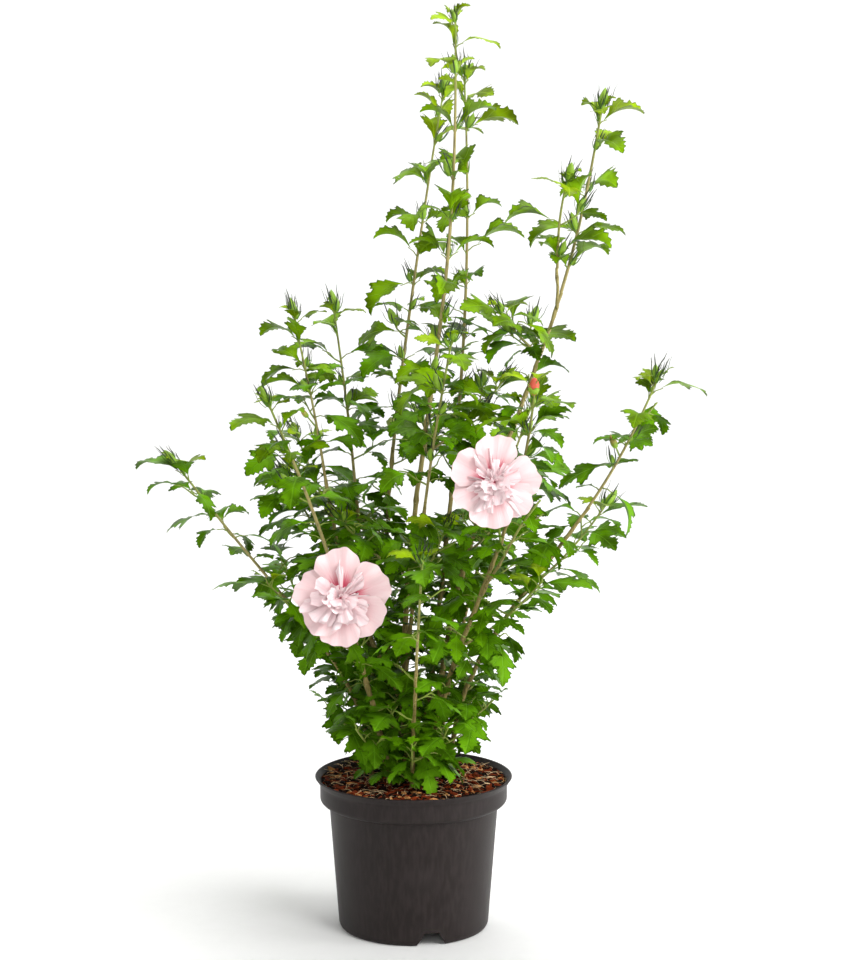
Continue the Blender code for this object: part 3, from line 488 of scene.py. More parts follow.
def litter_tree():
    """Strews shapes over a surface at random turns, tilts and sizes."""
    tree, given = new_tree("litter on a bed", (
        ("Shapes", "Collection"), ("Density", "Float"), ("Smallest", "Float"),
        ("Largest", "Float"), ("Seed", "Int"), ("Material", "Material")))
    seed = given["Seed"]
    dots = add_node(tree, "GeometryNodeDistributePointsOnFaces", {
        "Mesh": given["Geometry"], "Density": given["Density"], "Seed": seed})
    tilt = add_node(tree, "FunctionNodeRandomValue", {0: (-0.8, -0.45, 0.0),
                    1: (0.8, 0.45, 6.28), "Seed": seed}, data_type="FLOAT_VECTOR")
    size = add_node(tree, "FunctionNodeRandomValue", {2: given["Smallest"],
                    3: given["Largest"], "Seed": seed}, data_type="FLOAT")
    which = add_node(tree, "FunctionNodeRandomValue", {4: 0, 5: LITTER_SHAPES - 1,
                     "Seed": seed}, data_type="INT")
    return end_with_shapes(tree, given, dots.outputs[0], which.outputs[2], tilt.outputs[0],
                           size.outputs[1])


def grown(name, base, tree, values):
    """Runs a tree on a mesh and gives the result as a plain object."""
    carrier = new_object(name + "_base", base)
    modifier = carrier.modifiers.new("grow", "NODES")
    modifier.node_group = tree
    for item in tree.interface.items_tree:
        if item.in_out == "INPUT" and item.name in values:
            modifier[item.identifier] = values[item.name]
    bpy.context.view_layer.update()
    shape = carrier.evaluated_get(bpy.context.evaluated_depsgraph_get())
    made = new_object(name, bpy.data.meshes.new_from_object(shape))
    made.data.name = name
    bpy.data.objects.remove(carrier, do_unlink=True)
    if not made.data.polygons:
        raise RuntimeError(f"{name} has no faces")
    return made


def faced_outwards(item):
    """Turns the faces of closed stems outwards."""
    work = bmesh.new()
    work.from_mesh(item.data)
    bmesh.ops.recalc_face_normals(work, faces=work.faces)
    work.to_mesh(item.data)
    work.free()
    return item


def mesh_of(name, points, faces, **maps):
    """A smooth mesh; each of its UV maps holds one pair for each point."""
    mesh = bpy.data.meshes.new(name)
    mesh.from_pydata([tuple(p) for p in points], [], faces)
    for layer, pairs in maps.items():
        uv = mesh.uv_layers.new(name=layer)
        for loop in mesh.loops:
            uv.data[loop.index].uv = pairs[loop.vertex_index]
    mesh.shade_smooth()
    return mesh


def circle(steps, radius):
    """Points round a circle, as (x, y)."""
    turns = [2 * math.pi * k / steps for k in range(steps)]
    return [(radius * math.cos(turn), radius * math.sin(turn)) for turn in turns]


def ring_faces(rings, sides, first=0, flipped=False):
    """Quads between rings of points that follow each other."""
    faces = []
    for ring in range(rings - 1):
        for k in range(sides):
            a = first + ring * sides + k
            b = first + ring * sides + (k + 1) % sides
            faces.append((a, a + sides, b + sides, b) if flipped
                         else (a, b, b + sides, a + sides))
    return faces


def tube_faces(rings, sides):
    """Faces of a tube of rings, with a cap on each end."""
    last = (rings - 1) * sides
    caps = [tuple(range(sides))[::-1], tuple(range(last, last + sides))]
    return ring_faces(rings, sides) + caps


def disc_faces(rings, sides):
    """Faces of a disc of rings round point 0."""
    fan = [(0, 1 + k, 1 + (k + 1) % sides) for k in range(sides)]
    return fan + ring_faces(rings, sides, first=1, flipped=True)


def rounded(profile, radius, steps=4):
    """A profile of (radius, height) whose corners are rounded."""
    places = [Vector(p) for p in profile]
    made = [places[0]]
    for a, b, c in zip(places, places[1:], places[2:]):
        reach = min(radius, 0.45 * (b - a).length, 0.45 * (c - b).length)
        start = b + (a - b).normalized() * reach
        end = b + (c - b).normalized() * reach
        for k in range(steps + 1):
            t = k / steps
            made.append(start.lerp(b, t).lerp(b.lerp(end, t), t))
    return made + [places[-1]]


def turned_about_z(name, profile, steps):
    """A closed body of revolution with smooth faces."""
    points, faces, rings = [], [], []
    for radius, height in profile:
        if radius < 1e-6:
            rings.append([len(points)] * steps)
            points.append((0.0, 0.0, height))
            continue
        rings.append([len(points) + k for k in range(steps)])
        points += [(x, y, height) for x, y in circle(steps, radius)]
    for low, high in zip(rings, rings[1:]):
        for k in range(steps):
            loop = [low[k], low[(k + 1) % steps], high[(k + 1) % steps], high[k]]
            faces.append(tuple(dict.fromkeys(loop)))
    made = new_object(name, mesh_of(name, points, faces))
    return faced_outwards(made)


def shape_collection(name, meshes):
    """A collection of shapes that lies outside the scene, for a tree to pick from."""
    made = bpy.data.collections.new(name)
    for k, mesh in enumerate(meshes):
        made.objects.link(bpy.data.objects.new(f"{name}_{k:02d}", mesh))
    return made


def keep_on_points(mesh, name, kind, values):
    """Keeps a value on each point of a mesh, for a tree to read."""
    field = "vector" if kind == "FLOAT_VECTOR" else "value"
    mesh.attributes.new(name, kind, "POINT").data.foreach_set(field, values)


def lines_mesh(name, stems):
    """Edges along each (points, radii), with the radius kept on every point."""
    points, edges, radii = [], [], []
    for line, thickness in stems:
        first = len(points)
        points += [tuple(p) for p in line]
        radii += thickness
        edges += [(first + k, first + k + 1) for k in range(len(line) - 1)]
    mesh = bpy.data.meshes.new(name)
    mesh.from_pydata(points, edges, [])
    keep_on_points(mesh, "thickness", "FLOAT", radii)
    return mesh


Sprig = namedtuple("Sprig", "place turn size shape")


def sprigs_mesh(name, sprigs):
    """One point for each sprig, which keeps its turn, size and shape."""
    mesh = bpy.data.meshes.new(name)
    mesh.from_pydata([tuple(s.place) for s in sprigs], [], [])
    keep_on_points(mesh, "turn", "FLOAT_VECTOR", [angle for s in sprigs for angle in s.turn])
    keep_on_points(mesh, "size", "FLOAT", [s.size for s in sprigs])
    keep_on_points(mesh, "shape", "INT", [s.shape for s in sprigs])
    return mesh


def finished(item, replaced=()):
    """Hands a piece to the frame."""
    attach(item, "root")
    if replaced:
        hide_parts(*replaced)


def stems_piece(name, stems, tree, skin, replaced=(), **sizes):
    """Hands over one piece of round stems, given as (points, radii)."""
    values = {"Sides": 6, "Relief": 0.0, "Furrow": 0.004, "Material": skin, **sizes}
    piece = grown(name, lines_mesh(f"{name}_line", stems), tree, values)
    finished(faced_outwards(piece), replaced)


# --- the canes, as the solids have them ---------------------------------------

LEAN_POWER = 1.35           # a cane leaves the ground upright and leans out as it climbs
TAPER_POWER = 0.8
FLARE = 0.55                # extra radius at the foot of a cane
FLARE_HEIGHT = 0.011
SHOOT_RADIUS = 0.0011
SIDE_STEM_RADIUS = 0.0017
STEM_TRIES = (0, 25, -25, 50, -50, 80, -80, 110, -110)

# A cane stands in the soil at foot (x, y), or forks from a parent at a share of the
# parent's height. tip is the end of its leading shoot. sag and swing bend it sideways.
# Its bare wood ends at the share bare. sides are the side shoots along it: (share,
# azimuth in degrees, length).
Cane = namedtuple("Cane", "name foot tip sag swing radius bare sides")
Fork = namedtuple("Fork", "parent share")

CANES = (
    Cane("cane_tall", (-0.010, 0.002), (0.047, -0.020, 1.046), 0.005, -0.010, 0.0036, 0.52,
         ((0.06, 255, 0.06), (0.28, 215, 0.12), (0.44, 20, 0.11))),
    Cane("bough_left", Fork("cane_tall", 0.115), (-0.140, 0.100, 0.704), -0.032, -0.008, 0.0025,
         0.62, ((0.36, 130, 0.12),)),
    Cane("bough_middle_front", Fork("cane_tall", 0.135), (0.041, -0.160, 0.698), 0.001, 0.001,
         0.0024, 0.55, ((0.30, 290, 0.11),)),
    Cane("cane_far_left", (-0.050, -0.008), (-0.284, 0.060, 0.544), 0.015, 0.009, 0.0026, 0.62,
         ((0.14, 185, 0.055), (0.42, 120, 0.11))),
    Cane("cane_left_front", (-0.026, -0.028), (-0.156, -0.140, 0.628), -0.002, -0.002, 0.0034,
         0.62, ((0.08, 235, 0.065), (0.36, 185, 0.12))),
    Cane("cane_left_back", (-0.034, 0.018), (-0.096, 0.180, 0.705), -0.005, -0.003, 0.0028,
         0.62, ((0.10, 150, 0.065), (0.42, 100, 0.12))),
    Cane("cane_mid_back", (-0.014, 0.036), (0.035, 0.220, 0.963), -0.028, -0.005, 0.0031, 0.48,
         ((0.10, 100, 0.07), (0.34, 160, 0.12))),
    Cane("cane_right_back", (0.006, 0.022), (0.059, 0.110, 0.984), 0.024, -0.002, 0.0031, 0.48,
         ((0.26, 60, 0.12),)),
    Cane("cane_right_front", (0.014, -0.026), (0.132, -0.170, 0.656), 0.017, -0.008, 0.0034,
         0.66, ((0.08, 290, 0.065), (0.36, 330, 0.12))),
    Cane("bough_right_front", Fork("cane_right_front", 0.50), (0.136, -0.210, 0.536), 0.005,
         0.002, 0.0018, 0.30, ()),
    Cane("cane_right_tall", (0.028, 0.006), (0.218, 0.060, 0.960), 0.005, -0.016, 0.0036, 0.72,
         ((0.10, 20, 0.065), (0.34, 40, 0.12), (0.63, 225, 0.085))),
    Cane("bough_right_tall", Fork("cane_right_tall", 0.70), (0.173, -0.030, 0.873), -0.004,
         0.001, 0.0018, 0.30, ()),
    Cane("cane_far_right", (0.044, -0.010), (0.276, -0.070, 0.659), 0.001, -0.017, 0.0030, 0.68,
         ((0.14, 345, 0.055), (0.48, 30, 0.12))),
    Cane("cane_back_left", (-0.022, 0.052), (-0.150, 0.235, 0.560), 0.004, 0.0, 0.0026, 0.55,
         ((0.20, 150, 0.07),)),
    Cane("cane_back_right", (0.028, 0.042), (0.150, 0.230, 0.600), -0.004, 0.0, 0.0027, 0.58,
         ((0.16, 60, 0.07),)),
    Cane("cane_front", (-0.002, -0.048), (0.010, -0.215, 0.470), 0.0, 0.0, 0.0023, 0.55,
         ((0.10, 270, 0.06),)),
)

# A bloom stands on a stalk from a cane, at a share of its height.
# Its broad petals are (direction in degrees, length as a share of the radius), and open is
# the direction in which the throat shows between the inner petals.
Bloom = namedtuple("Bloom", "name cane share centre facing radius open petals")
BLOOMS = (
    Bloom("bloom_left", "cane_left_front", 0.50, (-0.078, -0.165, 0.421),
          (-0.10, -1.0, 0.22), 0.053, 72,
          ((98, 1.02), (24, 1.03), (-34, 0.98), (-92, 1.00), (222, 0.93), (170, 0.99))),
    Bloom("bloom_right", "cane_right_front", 0.62, (0.087, -0.195, 0.553),
          (0.05, -1.0, 0.18), 0.049, 112,
          ((84, 1.04), (8, 1.01), (-38, 0.96), (-96, 1.02), (205, 0.93), (150, 1.00))),
)


def cane_by_name(name):
    return next(cane for cane in CANES if cane.name == name)


def cane_start(cane):
    """Centre of the cane's lower end, on the soil or beside its parent."""
    if not isinstance(cane.foot, Fork):
        return Vector((*cane.foot, SOIL_LEVEL))
    parent = cane_by_name(cane.foot.parent)
    share = cane.foot.share
    root = cane_point(parent, share)
    out = Vector(cane.tip) - root
    out.z = 0.0
    out.normalize()
    lean = out.dot(cane_axis(parent, share))
    clear = cane_radius(parent, share) + cane.radius
    return root + out * (clear / math.sqrt(1 - lean * lean))


def cane_point(cane, share):
    """The cane's middle line at a share of its height."""
    start = cane_start(cane)
    tip = Vector(cane.tip)
    lean = share ** LEAN_POWER
    bend = cane.sag * 4 * share * (1 - share) + cane.swing * math.sin(2 * math.pi * share)
    return Vector((start.x + (tip.x - start.x) * lean + bend,
                   start.y + (tip.y - start.y) * lean,
                   start.z + (tip.z - start.z) * share))


def cane_axis(cane, share):
    """The cane's direction at a share of its height."""
    low = max(0.0, share - 0.01)
    return (cane_point(cane, share + 0.01) - cane_point(cane, low)).normalized()


def cane_radius(cane, share):
    wood = SHOOT_RADIUS + (cane.radius - SHOOT_RADIUS) * (1 - share) ** TAPER_POWER
    if isinstance(cane.foot, Fork):
        return wood
    above = share * (cane.tip[2] - SOIL_LEVEL)
    return wood * (1 + FLARE * math.exp(-above / FLARE_HEIGHT))


def heading(azimuth, climb):
    """A direction, from its azimuth and its climb off the ground, in radians."""
    return Vector((math.cos(azimuth) * math.cos(climb),
                   math.sin(azimuth) * math.cos(climb), math.sin(climb)))


def side_stem(azimuth, length):
    """Points of a shoot, from its root, that leaves sideways and turns up."""
    out = heading(azimuth, 0.0)
    shares = [k / 8 for k in range(9)]
    return [out * (0.85 * length * s) + Vector((0, 0, length * (0.45 * s + 0.25 * s * s)))
            for s in shares]


def side_points(cane, index):
    """The side shoot's points, turned the way that its solid's stem goes."""
    share, degrees, length = cane.sides[index]
    solid = frame["nodes"][f"foliage_{cane.name}_{index + 1}"].data
    tree = BVHTree.FromPolygons([v.co for v in solid.vertices],
                                [tuple(p.vertices) for p in solid.polygons])
    root = cane_point(cane, share)
    best = None
    for turn in STEM_TRIES:
        azimuth = math.radians(degrees + turn)
        offsets = side_stem(azimuth, length)
        along = offsets[2].normalized()
        start = root + along * cane_radius(cane, share) * 1.1
        points = [root] + [start + offset for offset in offsets]
        error = sum(tree.find_nearest(p)[3] for p in points[4:])
        if best is None or error < best[0]:
            best = (error, azimuth, points)
    return best[1], best[2]


def framed(along, up, roll=0.0):
    """A turn that puts +X along a direction with +Z as near to up as it goes."""
    x = along.normalized()
    y = up.cross(x)
    if y.length < 0.001:
        y = Vector((0.0, 1.0, 0.0)).cross(x)
    y.normalize()
    turn = Matrix((x, y, x.cross(y))).transposed()
    return turn @ Matrix.Rotation(roll, 3, "X")


# --- the growth of the crown --------------------------------------------------

# Each age of leaf grows above a share of the crown's height.
AGES = {"tip": 0.90, "young": 0.56, "mature": 0.24, "deep": -1.0}
LEAF_SHAPES = 6             # shapes of each kind: upright, spreading and hanging
SPREADING_BELOW = 0.62      # share of the crown's height under which leaves spread flat
HANGING_BELOW = 0.30        # and under which they hang
OPENING_CANE = "cane_right_front"       # its shoot ends in the opening bud
# Turn and lift, in radians, that a leaf tries in order to keep clear of the others.
LEAF_TURNS = ((0.0, 0.0), (0.5, 0.15), (-0.5, 0.2), (0.9, -0.1), (-0.9, 0.3), (0.25, 0.5),
              (-0.25, -0.35), (0.6, -0.4), (-0.7, 0.6))
CELL = 0.03                 # cells that sort the middles and ends of the leaves
WIDE_CELL = 0.08            # cells that sort whole leaves, none of which is longer

WIDE_JOINTS = 0.62          # share of the crown's height where the joints start to stand apart
SIDE_JOINT = 0.019          # distance between two joints on a side shoot
CLEAR_ROOT = 0.014          # the first part of a side shoot, which carries no leaf
LEAF_STALK_RADII = [0.0009, 0.0007, 0.0005]
TWIG_RADII = [0.0012, 0.0010, 0.0008]
BUD_STALK_RADII = [0.0009, 0.0009]
TUFT = (0.42, 0.50, 0.62)   # sizes of the small leaves round a shoot's tip

REACH = 0.024               # how far a leaf's tip may be from the solids
OVERHANG = 0.006            # how far it may be outside their box
LOWEST = 0.010              # height of the lowest leaf over the soil
SKIRT_TOP = 0.40            # up to here the leaves stay over the middle of the pot
SKIRT_RADIUS = 0.090        # how far out they may be at the foot of the crown
SKIRT_SPREAD = 0.50         # how much further for each metre above the skirt's foot
SKIRT_FOOT = 0.22
BLOOM_ROOM = 1.16           # no leaf is in a cylinder round a bloom, this much wider than it
BLOOM_BACK = 0.015          # that starts this far behind the bloom
BLOOM_FRONT = 0.14          # and ends this far in front of it
LEAFY_WOOD = 0.38           # up to here every bit of bare wood carries twigs
INNER_WOOD = 0.15           # higher up only the wood this close to the middle does


def cell_of(point, width):
    """The cell of a grid that a point lies in."""
    return tuple(math.floor(c / width) for c in point)


def near_point(cells, point, width):
    """All that is kept in a point's cell and in the cells round it."""
    cell = cell_of(point, width)
    for step in itertools.product((-1, 0, 1), repeat=3):
        yield from cells.get(tuple(c + d for c, d in zip(cell, step)), ())


Blade = namedtuple("Blade", "crossings base along middle end facing surface")


class Crown:
    """Shoots, leaf stalks, leaves and buds, grown from the canes by one seeded rule.

    Angles are in radians. rank counts the joints of a shoot from its tip, and a leading
    shoot is the end of a cane.
    """

    def __init__(self, leaves, buds):
        self.rng = random.Random(SEED)
        self.leaf_sizes = leaves
        self.bud_sizes = buds
        self.shoots = []
        self.leaves = {age: [] for age in AGES}
        self.buds = []
        self.crowned = True         # whether the growing shoot ends in a bunch of buds
        self.reach = self.solid_tree()
        self.cells = {}             # middles and ends of the leaves so far, by cell
        self.blades = {}            # surfaces of the leaves so far, by wide cell
        self.patterns = [([v.co.copy() for v in mesh.vertices],
                          [tuple(p.vertices) for p in mesh.polygons]) for mesh in leaf_shapes()]
        self.blocked = [(framed(Vector(bloom.facing), UP).transposed(), Vector(bloom.centre),
                         bloom.radius) for bloom in BLOOMS]

    @staticmethod
    def solid_tree():
        """The surface of the plant's solids, which the finer growth stays close to."""
        points, faces = [], []
        for name, node in frame["nodes"].items():
            if name in ("pot", "potting_soil"):
                continue
            first = len(points)
            points += [v.co.copy() for v in node.data.vertices]
            faces += [tuple(first + i for i in p.vertices) for p in node.data.polygons]
        return BVHTree.FromPolygons(points, faces)

    @staticmethod
    def height_share(z):
        """A height as a share of the crown's, from the soil to the top."""
        return min(1.0, max(0.0, (z - SOIL_LEVEL) / (CROWN_TOP - SOIL_LEVEL)))

    def leaf_length(self, z):
        size = self.leaf_sizes
        return size.low + (size.high - size.low) * self.height_share(z)

    def in_reach(self, point):
        """Near a solid; low down, only over the middle of the pot."""
        widest = SKIRT_RADIUS + SKIRT_SPREAD * max(0.0, point.z - SKIRT_FOOT)
        if point.z < SKIRT_TOP and math.hypot(point.x, 0.85 * point.y) > widest:
            return False
        return self.reach.find_nearest(point)[3] < REACH

    def in_bloom(self, point):
        """Whether a point is in the space that a bloom needs."""
        for turn, centre, radius in self.blocked:
            local = turn @ (point - centre)
            across = math.hypot(local.y, local.z)
            if -BLOOM_BACK < local.x < BLOOM_FRONT and across < radius * BLOOM_ROOM:
                return True
        return False

    def is_free(self, points, room):
        """Whether the points lie in the crown, with no leaf's middle or end within room."""
        for point in points:
            if self.in_bloom(point) or point.z < SOIL_LEVEL + LOWEST:
                return False
            if not all(low - OVERHANG < c < high + OVERHANG
                       for low, c, high in zip(CAD_BOX[0], point, CAD_BOX[1])):
                return False
            if any((point - other).length < room
                   for other in near_point(self.cells, point, CELL)):
                return False
        return True

    def surface(self, shape, base, facing, length):
        """A leaf's own surface where it would stand, or nothing if it enters a bloom."""
        points, faces = self.patterns[shape]
        points = [base + facing @ (length * p) for p in points]
        if any(self.in_bloom(p) for p in points):
            return None
        return BVHTree.FromPolygons(points, faces)

    def crossed(self, surface, middle):
        """How many leaves the new one would pass through."""
        return sum(1 for other in near_point(self.blades, middle, WIDE_CELL)
                   if surface.overlap(other))

    def age(self, z, rank):
        """The age of a leaf, younger higher up and towards the tip of a shoot."""
        share = self.height_share(z) + self.rng.uniform(-0.10, 0.10) + max(0, 3 - rank) * 0.09
        if rank == 0 and share > 0.5:
            return "tip"
        return next(age for age, lowest in AGES.items() if share > lowest)

    def leaf(self, root, azimuth, climb, length, rank, room=0.011):
        """A stalk and a blade; the blade turns aside or is left out where it is tight."""
        share = self.height_share(root.z)
        stalk = (length * self.leaf_sizes.stalk * self.rng.uniform(0.7, 1.25)
                 * (1.25 - 0.6 * share))
        blade = length * (1 - self.leaf_sizes.stalk)
        roll = self.rng.uniform(-0.45, 0.45)
        hang = (share < SPREADING_BELOW) + (share < HANGING_BELOW)
        if self.rng.random() < 0.25:
            hang = min(2, hang + 1)
        shape = hang * LEAF_SHAPES + self.rng.randrange(LEAF_SHAPES)
        best = None
        for turn, lift in LEAF_TURNS:
            out = heading(azimuth + turn, min(1.2, climb + lift + 0.5))
            base = root + out * stalk
            along = heading(azimuth + turn, climb + lift)
            middle = base + along * 0.5 * blade
            end = base + along * 0.9 * blade
            if not self.is_free((middle, end), room) or not self.in_reach(end):
                continue
            facing = framed(along, UP, roll)
            surface = self.surface(shape, base, facing, blade)
            if surface is None:
                continue
            crossings = self.crossed(surface, middle)
            if best is None or crossings < best.crossings:
                best = Blade(crossings, base, along, middle, end, facing, surface)
            if crossings == 0:
                break
        if best is None:
            return
        for point in (best.middle, best.end):
            self.cells.setdefault(cell_of(point, CELL), []).append(point)
        self.blades.setdefault(cell_of(best.middle, WIDE_CELL), []).append(best.surface)
        sprig = Sprig(best.base, best.facing.to_euler(), blade, shape)
        self.leaves[self.age(root.z, rank)].append(sprig)
        bend = root.lerp(best.base, 0.55) + UP * (0.08 * stalk)
        self.shoots.append(([root, bend, best.base + best.along * 0.06 * blade],
                            LEAF_STALK_RADII))

    def bud(self, root, along, size, shape):
        """A bud on its short stalk."""
        stalk = 0.35 * size
        base = root + along.normalized() * stalk
        # the longest bracts stand 1.1 times their length over the bud's base
        tallest = (CROWN_TOP + 0.003 - base.z) * self.bud_sizes.calyx / self.bud_sizes.bract
        size = min(size, tallest / 1.1)
        if self.in_bloom(base) or size < 0.004:
            return
        turn = framed(along, Vector((0.3, 0.2, 0.9)), self.rng.uniform(0, 6.28))
        self.buds.append(Sprig(base, turn.to_euler(), size, shape))
        self.shoots.append(([root, base + along.normalized() * 0.001], BUD_STALK_RADII))

    def bunch(self, root, along, azimuth, count):
        """Buds crowded round the end of a shoot."""
        for k in range(count):
            lean = 0.0 if k == 0 else self.rng.uniform(0.25, 0.6)
            side = heading(azimuth + k * GOLDEN_ANGLE, 0.0)
            way = (along + side * math.tan(lean)).normalized()
            size = self.bud_sizes.calyx * (self.rng.uniform(0.75, 1.0) if k else 1.0)
            self.bud(root - along * 0.003 * k, way, size, self.rng.randrange(4))

    def twig(self, root, azimuth, climb, length, leaves, bud=False):
        """A short twig with its leaves, alternately to both sides, and perhaps two buds."""
        along = heading(azimuth, climb)
        end = root + along * length
        middle = root.lerp(end, 0.5) - Vector((0.0, 0.0, 0.05 * length))
        if not self.is_free((end,), 0.006):
            return
        self.shoots.append(([root, middle, end], TWIG_RADII))
        size = self.leaf_length(root.z)
        for k in range(leaves):
            share = 0.98 - 0.72 * k / leaves
            turn = azimuth + (0.2 if k == 0 else (1.15 if k % 2 else -1.15))
            place = (middle.lerp(end, 2 * share - 1) if share > 0.5
                     else root.lerp(middle, 2 * share))
            self.leaf(place, turn + self.rng.uniform(-0.35, 0.35),
                      self.leaf_climb(root.z) + self.rng.uniform(-0.35, 0.35),
                      size * self.rng.uniform(0.6, 0.95), 3)
        if bud:
            self.bunch(end, (along + Vector((0, 0, 0.8))).normalized(), azimuth, 2)

    def leaf_climb(self, z):
        """The climb of the leaves at a height, which droop near the pot."""
        return -0.45 + 0.62 * self.height_share(z)

    def shoot(self, points, radii, azimuth, spacing, leading, first=0.0):
        """A shoot with a leaf at every joint and buds, small leaves or a twig in its axil."""
        self.shoots.append((points, radii))
        steps = [(b - a).length for a, b in zip(points, points[1:])]
        left = sum(steps)
        rank = 0
        while left >= first and left > 0.0:
            root, along = self.along(points, steps, left)
            self.joint(root, along, azimuth + rank * GOLDEN_ANGLE, rank, leading, azimuth)
            high = max(0.0, self.height_share(root.z) - WIDE_JOINTS) if rank > 1 else 0.0
            left -= spacing * (1 + 3.5 * high)
            rank += 1

    @staticmethod
    def along(points, steps, distance):
        """The place and the direction at a distance along a line."""
        for a, b, step in zip(points, points[1:], steps):
            if distance <= step:
                break
            distance -= step
        return a.lerp(b, min(1.0, distance / step)), (b - a).normalized()

    def joint(self, root, along, turn, rank, leading, azimuth):
        """What grows at a joint of a shoot that points to an azimuth."""
        climb = self.leaf_climb(root.z) + self.rng.uniform(-0.25, 0.25)
        if rank == 0:
            self.tip_joint(root, along, turn, leading, azimuth)
        elif rank == 1:
            self.upper_joint(root, along, leading, azimuth)
        else:
            self.full_joint(root, along, turn, rank, leading, azimuth, climb)

    def tip_joint(self, root, along, turn, leading, azimuth):
        """A bunch of buds in a tuft of small leaves."""
        if self.crowned and self.height_share(root.z) > 0.30:
            self.bunch(root, along, azimuth, 3 if leading else 2)
        size = self.leaf_length(root.z)
        for k, scale in enumerate(TUFT):
            self.leaf(root - along * 0.003 * (k + 1), turn + 2.2 * k, 0.75 - 0.2 * k,
                      size * scale, 0, room=0.004)

    def upper_joint(self, root, along, leading, azimuth):
        """A large leaf that leans the way of the shoot and a small one behind it."""
        size = self.leaf_length(root.z)
        large = size * (1.15 - 0.3 * self.height_share(root.z))
        self.leaf(root, azimuth, 0.15, large, 1, room=0.006)
        self.leaf(root - along * 0.004, azimuth + 2.6, 0.35, size * 0.7, 1, room=0.006)
        if leading:
            self.bud(root, (along + heading(azimuth + 2.0, 0.4) * 0.5), 0.011, 1)

    def full_joint(self, root, along, turn, rank, leading, azimuth, climb):
        """A leaf, with a bud and small leaves, a twig or one more leaf in its axil."""
        rng = self.rng
        share = self.height_share(root.z)
        size = self.leaf_length(root.z)
        self.leaf(root, turn + rng.uniform(-0.3, 0.3), climb,
                  size * rng.uniform(0.85, 1.08), rank)
        axil = root - along * 0.004
        if leading and share > 0.42 and rng.random() < 0.8:
            way = (along + heading(turn, 0.5) * 0.7).normalized()
            self.bud(axil, way, self.bud_sizes.calyx * rng.uniform(0.75, 1.1),
                     rng.randrange(4))
            asides = [2.4, -1.7] if share < 0.75 else [2.4]
            if 0.45 < share < 0.62 and rank < 5:
                asides += [azimuth - turn + 1.2, azimuth - turn - 1.2]
            for aside in asides:
                self.leaf(axil, turn + aside, climb + 0.3, size * rng.uniform(0.5, 0.9), rank,
                          room=0.009)
        elif rank % 2 == 0 or not leading:
            self.twig(axil, turn + 2.5, 0.55, rng.uniform(0.018, 0.040),
                      3 if share < 0.5 else 2, bud=share > 0.38 and rng.random() < 0.5)
        else:
            self.leaf(axil, turn + math.pi, climb + 0.3, size * rng.uniform(0.5, 0.8), rank)

    def grow(self, joint_spacing):
        """Leading shoots first, then side shoots, then twigs on the bare wood."""
        for cane in CANES:
            steps = 14
            shares = [cane.bare + (1 - cane.bare) * k / steps for k in range(steps + 1)]
            points = [cane_point(cane, s) for s in shares]
            radii = [cane_radius(cane, s) for s in shares]
            start = cane_start(cane)
            azimuth = math.atan2(cane.tip[1] - start.y, cane.tip[0] - start.x)
            self.crowned = cane.name != OPENING_CANE
            self.shoot(points, radii, azimuth, joint_spacing, leading=True)
        self.crowned = True
        for cane in CANES:
            for index in range(len(cane.sides)):
                azimuth, points = side_points(cane, index)
                last = len(points) - 1
                radii = [SIDE_STEM_RADIUS + (SHOOT_RADIUS - SIDE_STEM_RADIUS) * k / last
                         for k in range(last + 1)]
                self.shoot(points, radii, azimuth, SIDE_JOINT, leading=False, first=CLEAR_ROOT)
        for cane in CANES:
            self.dress_bare_wood(cane)

    def dress_bare_wood(self, cane):
        """Short leafy twigs on the bare wood, thickest between the soil and a hand above."""
        start = cane_start(cane)
        rise = cane.tip[2] - start.z
        turn = self.rng.uniform(0, 6.28)
        share = 0.016 / rise
        while share < cane.bare:
            root = cane_point(cane, share)
            low = root.z < LEAFY_WOOD
            inside = math.hypot(root.x, root.y) < INNER_WOOD
            turn += GOLDEN_ANGLE
            if low or (inside and self.rng.random() < 0.7):
                self.twig(root, turn, 0.5, self.rng.uniform(0.014, 0.036 if low else 0.03),
                          3 if low or root.z > 0.52 else 2)
            share += (0.026 if low else 0.034) / rise


KEPT = {}


def crown():
    """The crown, grown once for all the operators."""
    if "crown" not in KEPT:
        scene = bpy.context.scene
        made = Crown(scene.hibiscus_leaves, scene.hibiscus_buds)
        made.grow(scene.hibiscus_wood.joint)
        KEPT["crown"] = made
    return KEPT["crown"]


# --- shapes of leaves, buds and petals ----------------------------------------

# Half of a leaf's outline, as shares of the blade. Each row is (place on the midrib, point
# inside the blade, point on the rim, teeth between this row and the next, how much
# further out the rim stands on a leaf without lobes).
LeafRow = namedtuple("LeafRow", "rib inner rim teeth fill")
LEAF_ROWS = (
    LeafRow(0.00, (0.00, 0.006), (0.00, 0.012), (), 0.0),
    LeafRow(0.13, (0.15, 0.035), (0.18, 0.080), ((0.285, 0.200),), 0.0),
    LeafRow(0.20, (0.26, 0.090), (0.320, 0.200), ((0.385, 0.320),), -0.02),
    LeafRow(0.26, (0.33, 0.130), (0.425, 0.305), ((0.500, 0.405), (0.550, 0.395)), -0.03),
    LeafRow(0.33, (0.41, 0.135), (0.540, 0.320), ((0.595, 0.290),), -0.01),
    LeafRow(0.40, (0.455, 0.100), (0.570, 0.200), (), 0.06),
    LeafRow(0.47, (0.505, 0.060), (0.560, 0.115), (), 0.13),
    LeafRow(0.57, (0.59, 0.075), (0.625, 0.140), ((0.690, 0.225),), 0.08),
    LeafRow(0.67, (0.69, 0.090), (0.720, 0.165), ((0.790, 0.200),), 0.03),
    LeafRow(0.77, (0.785, 0.070), (0.815, 0.130), ((0.885, 0.140),), 0.01),
    LeafRow(0.87, (0.88, 0.040), (0.905, 0.075), ((0.955, 0.062),), 0.0),
)
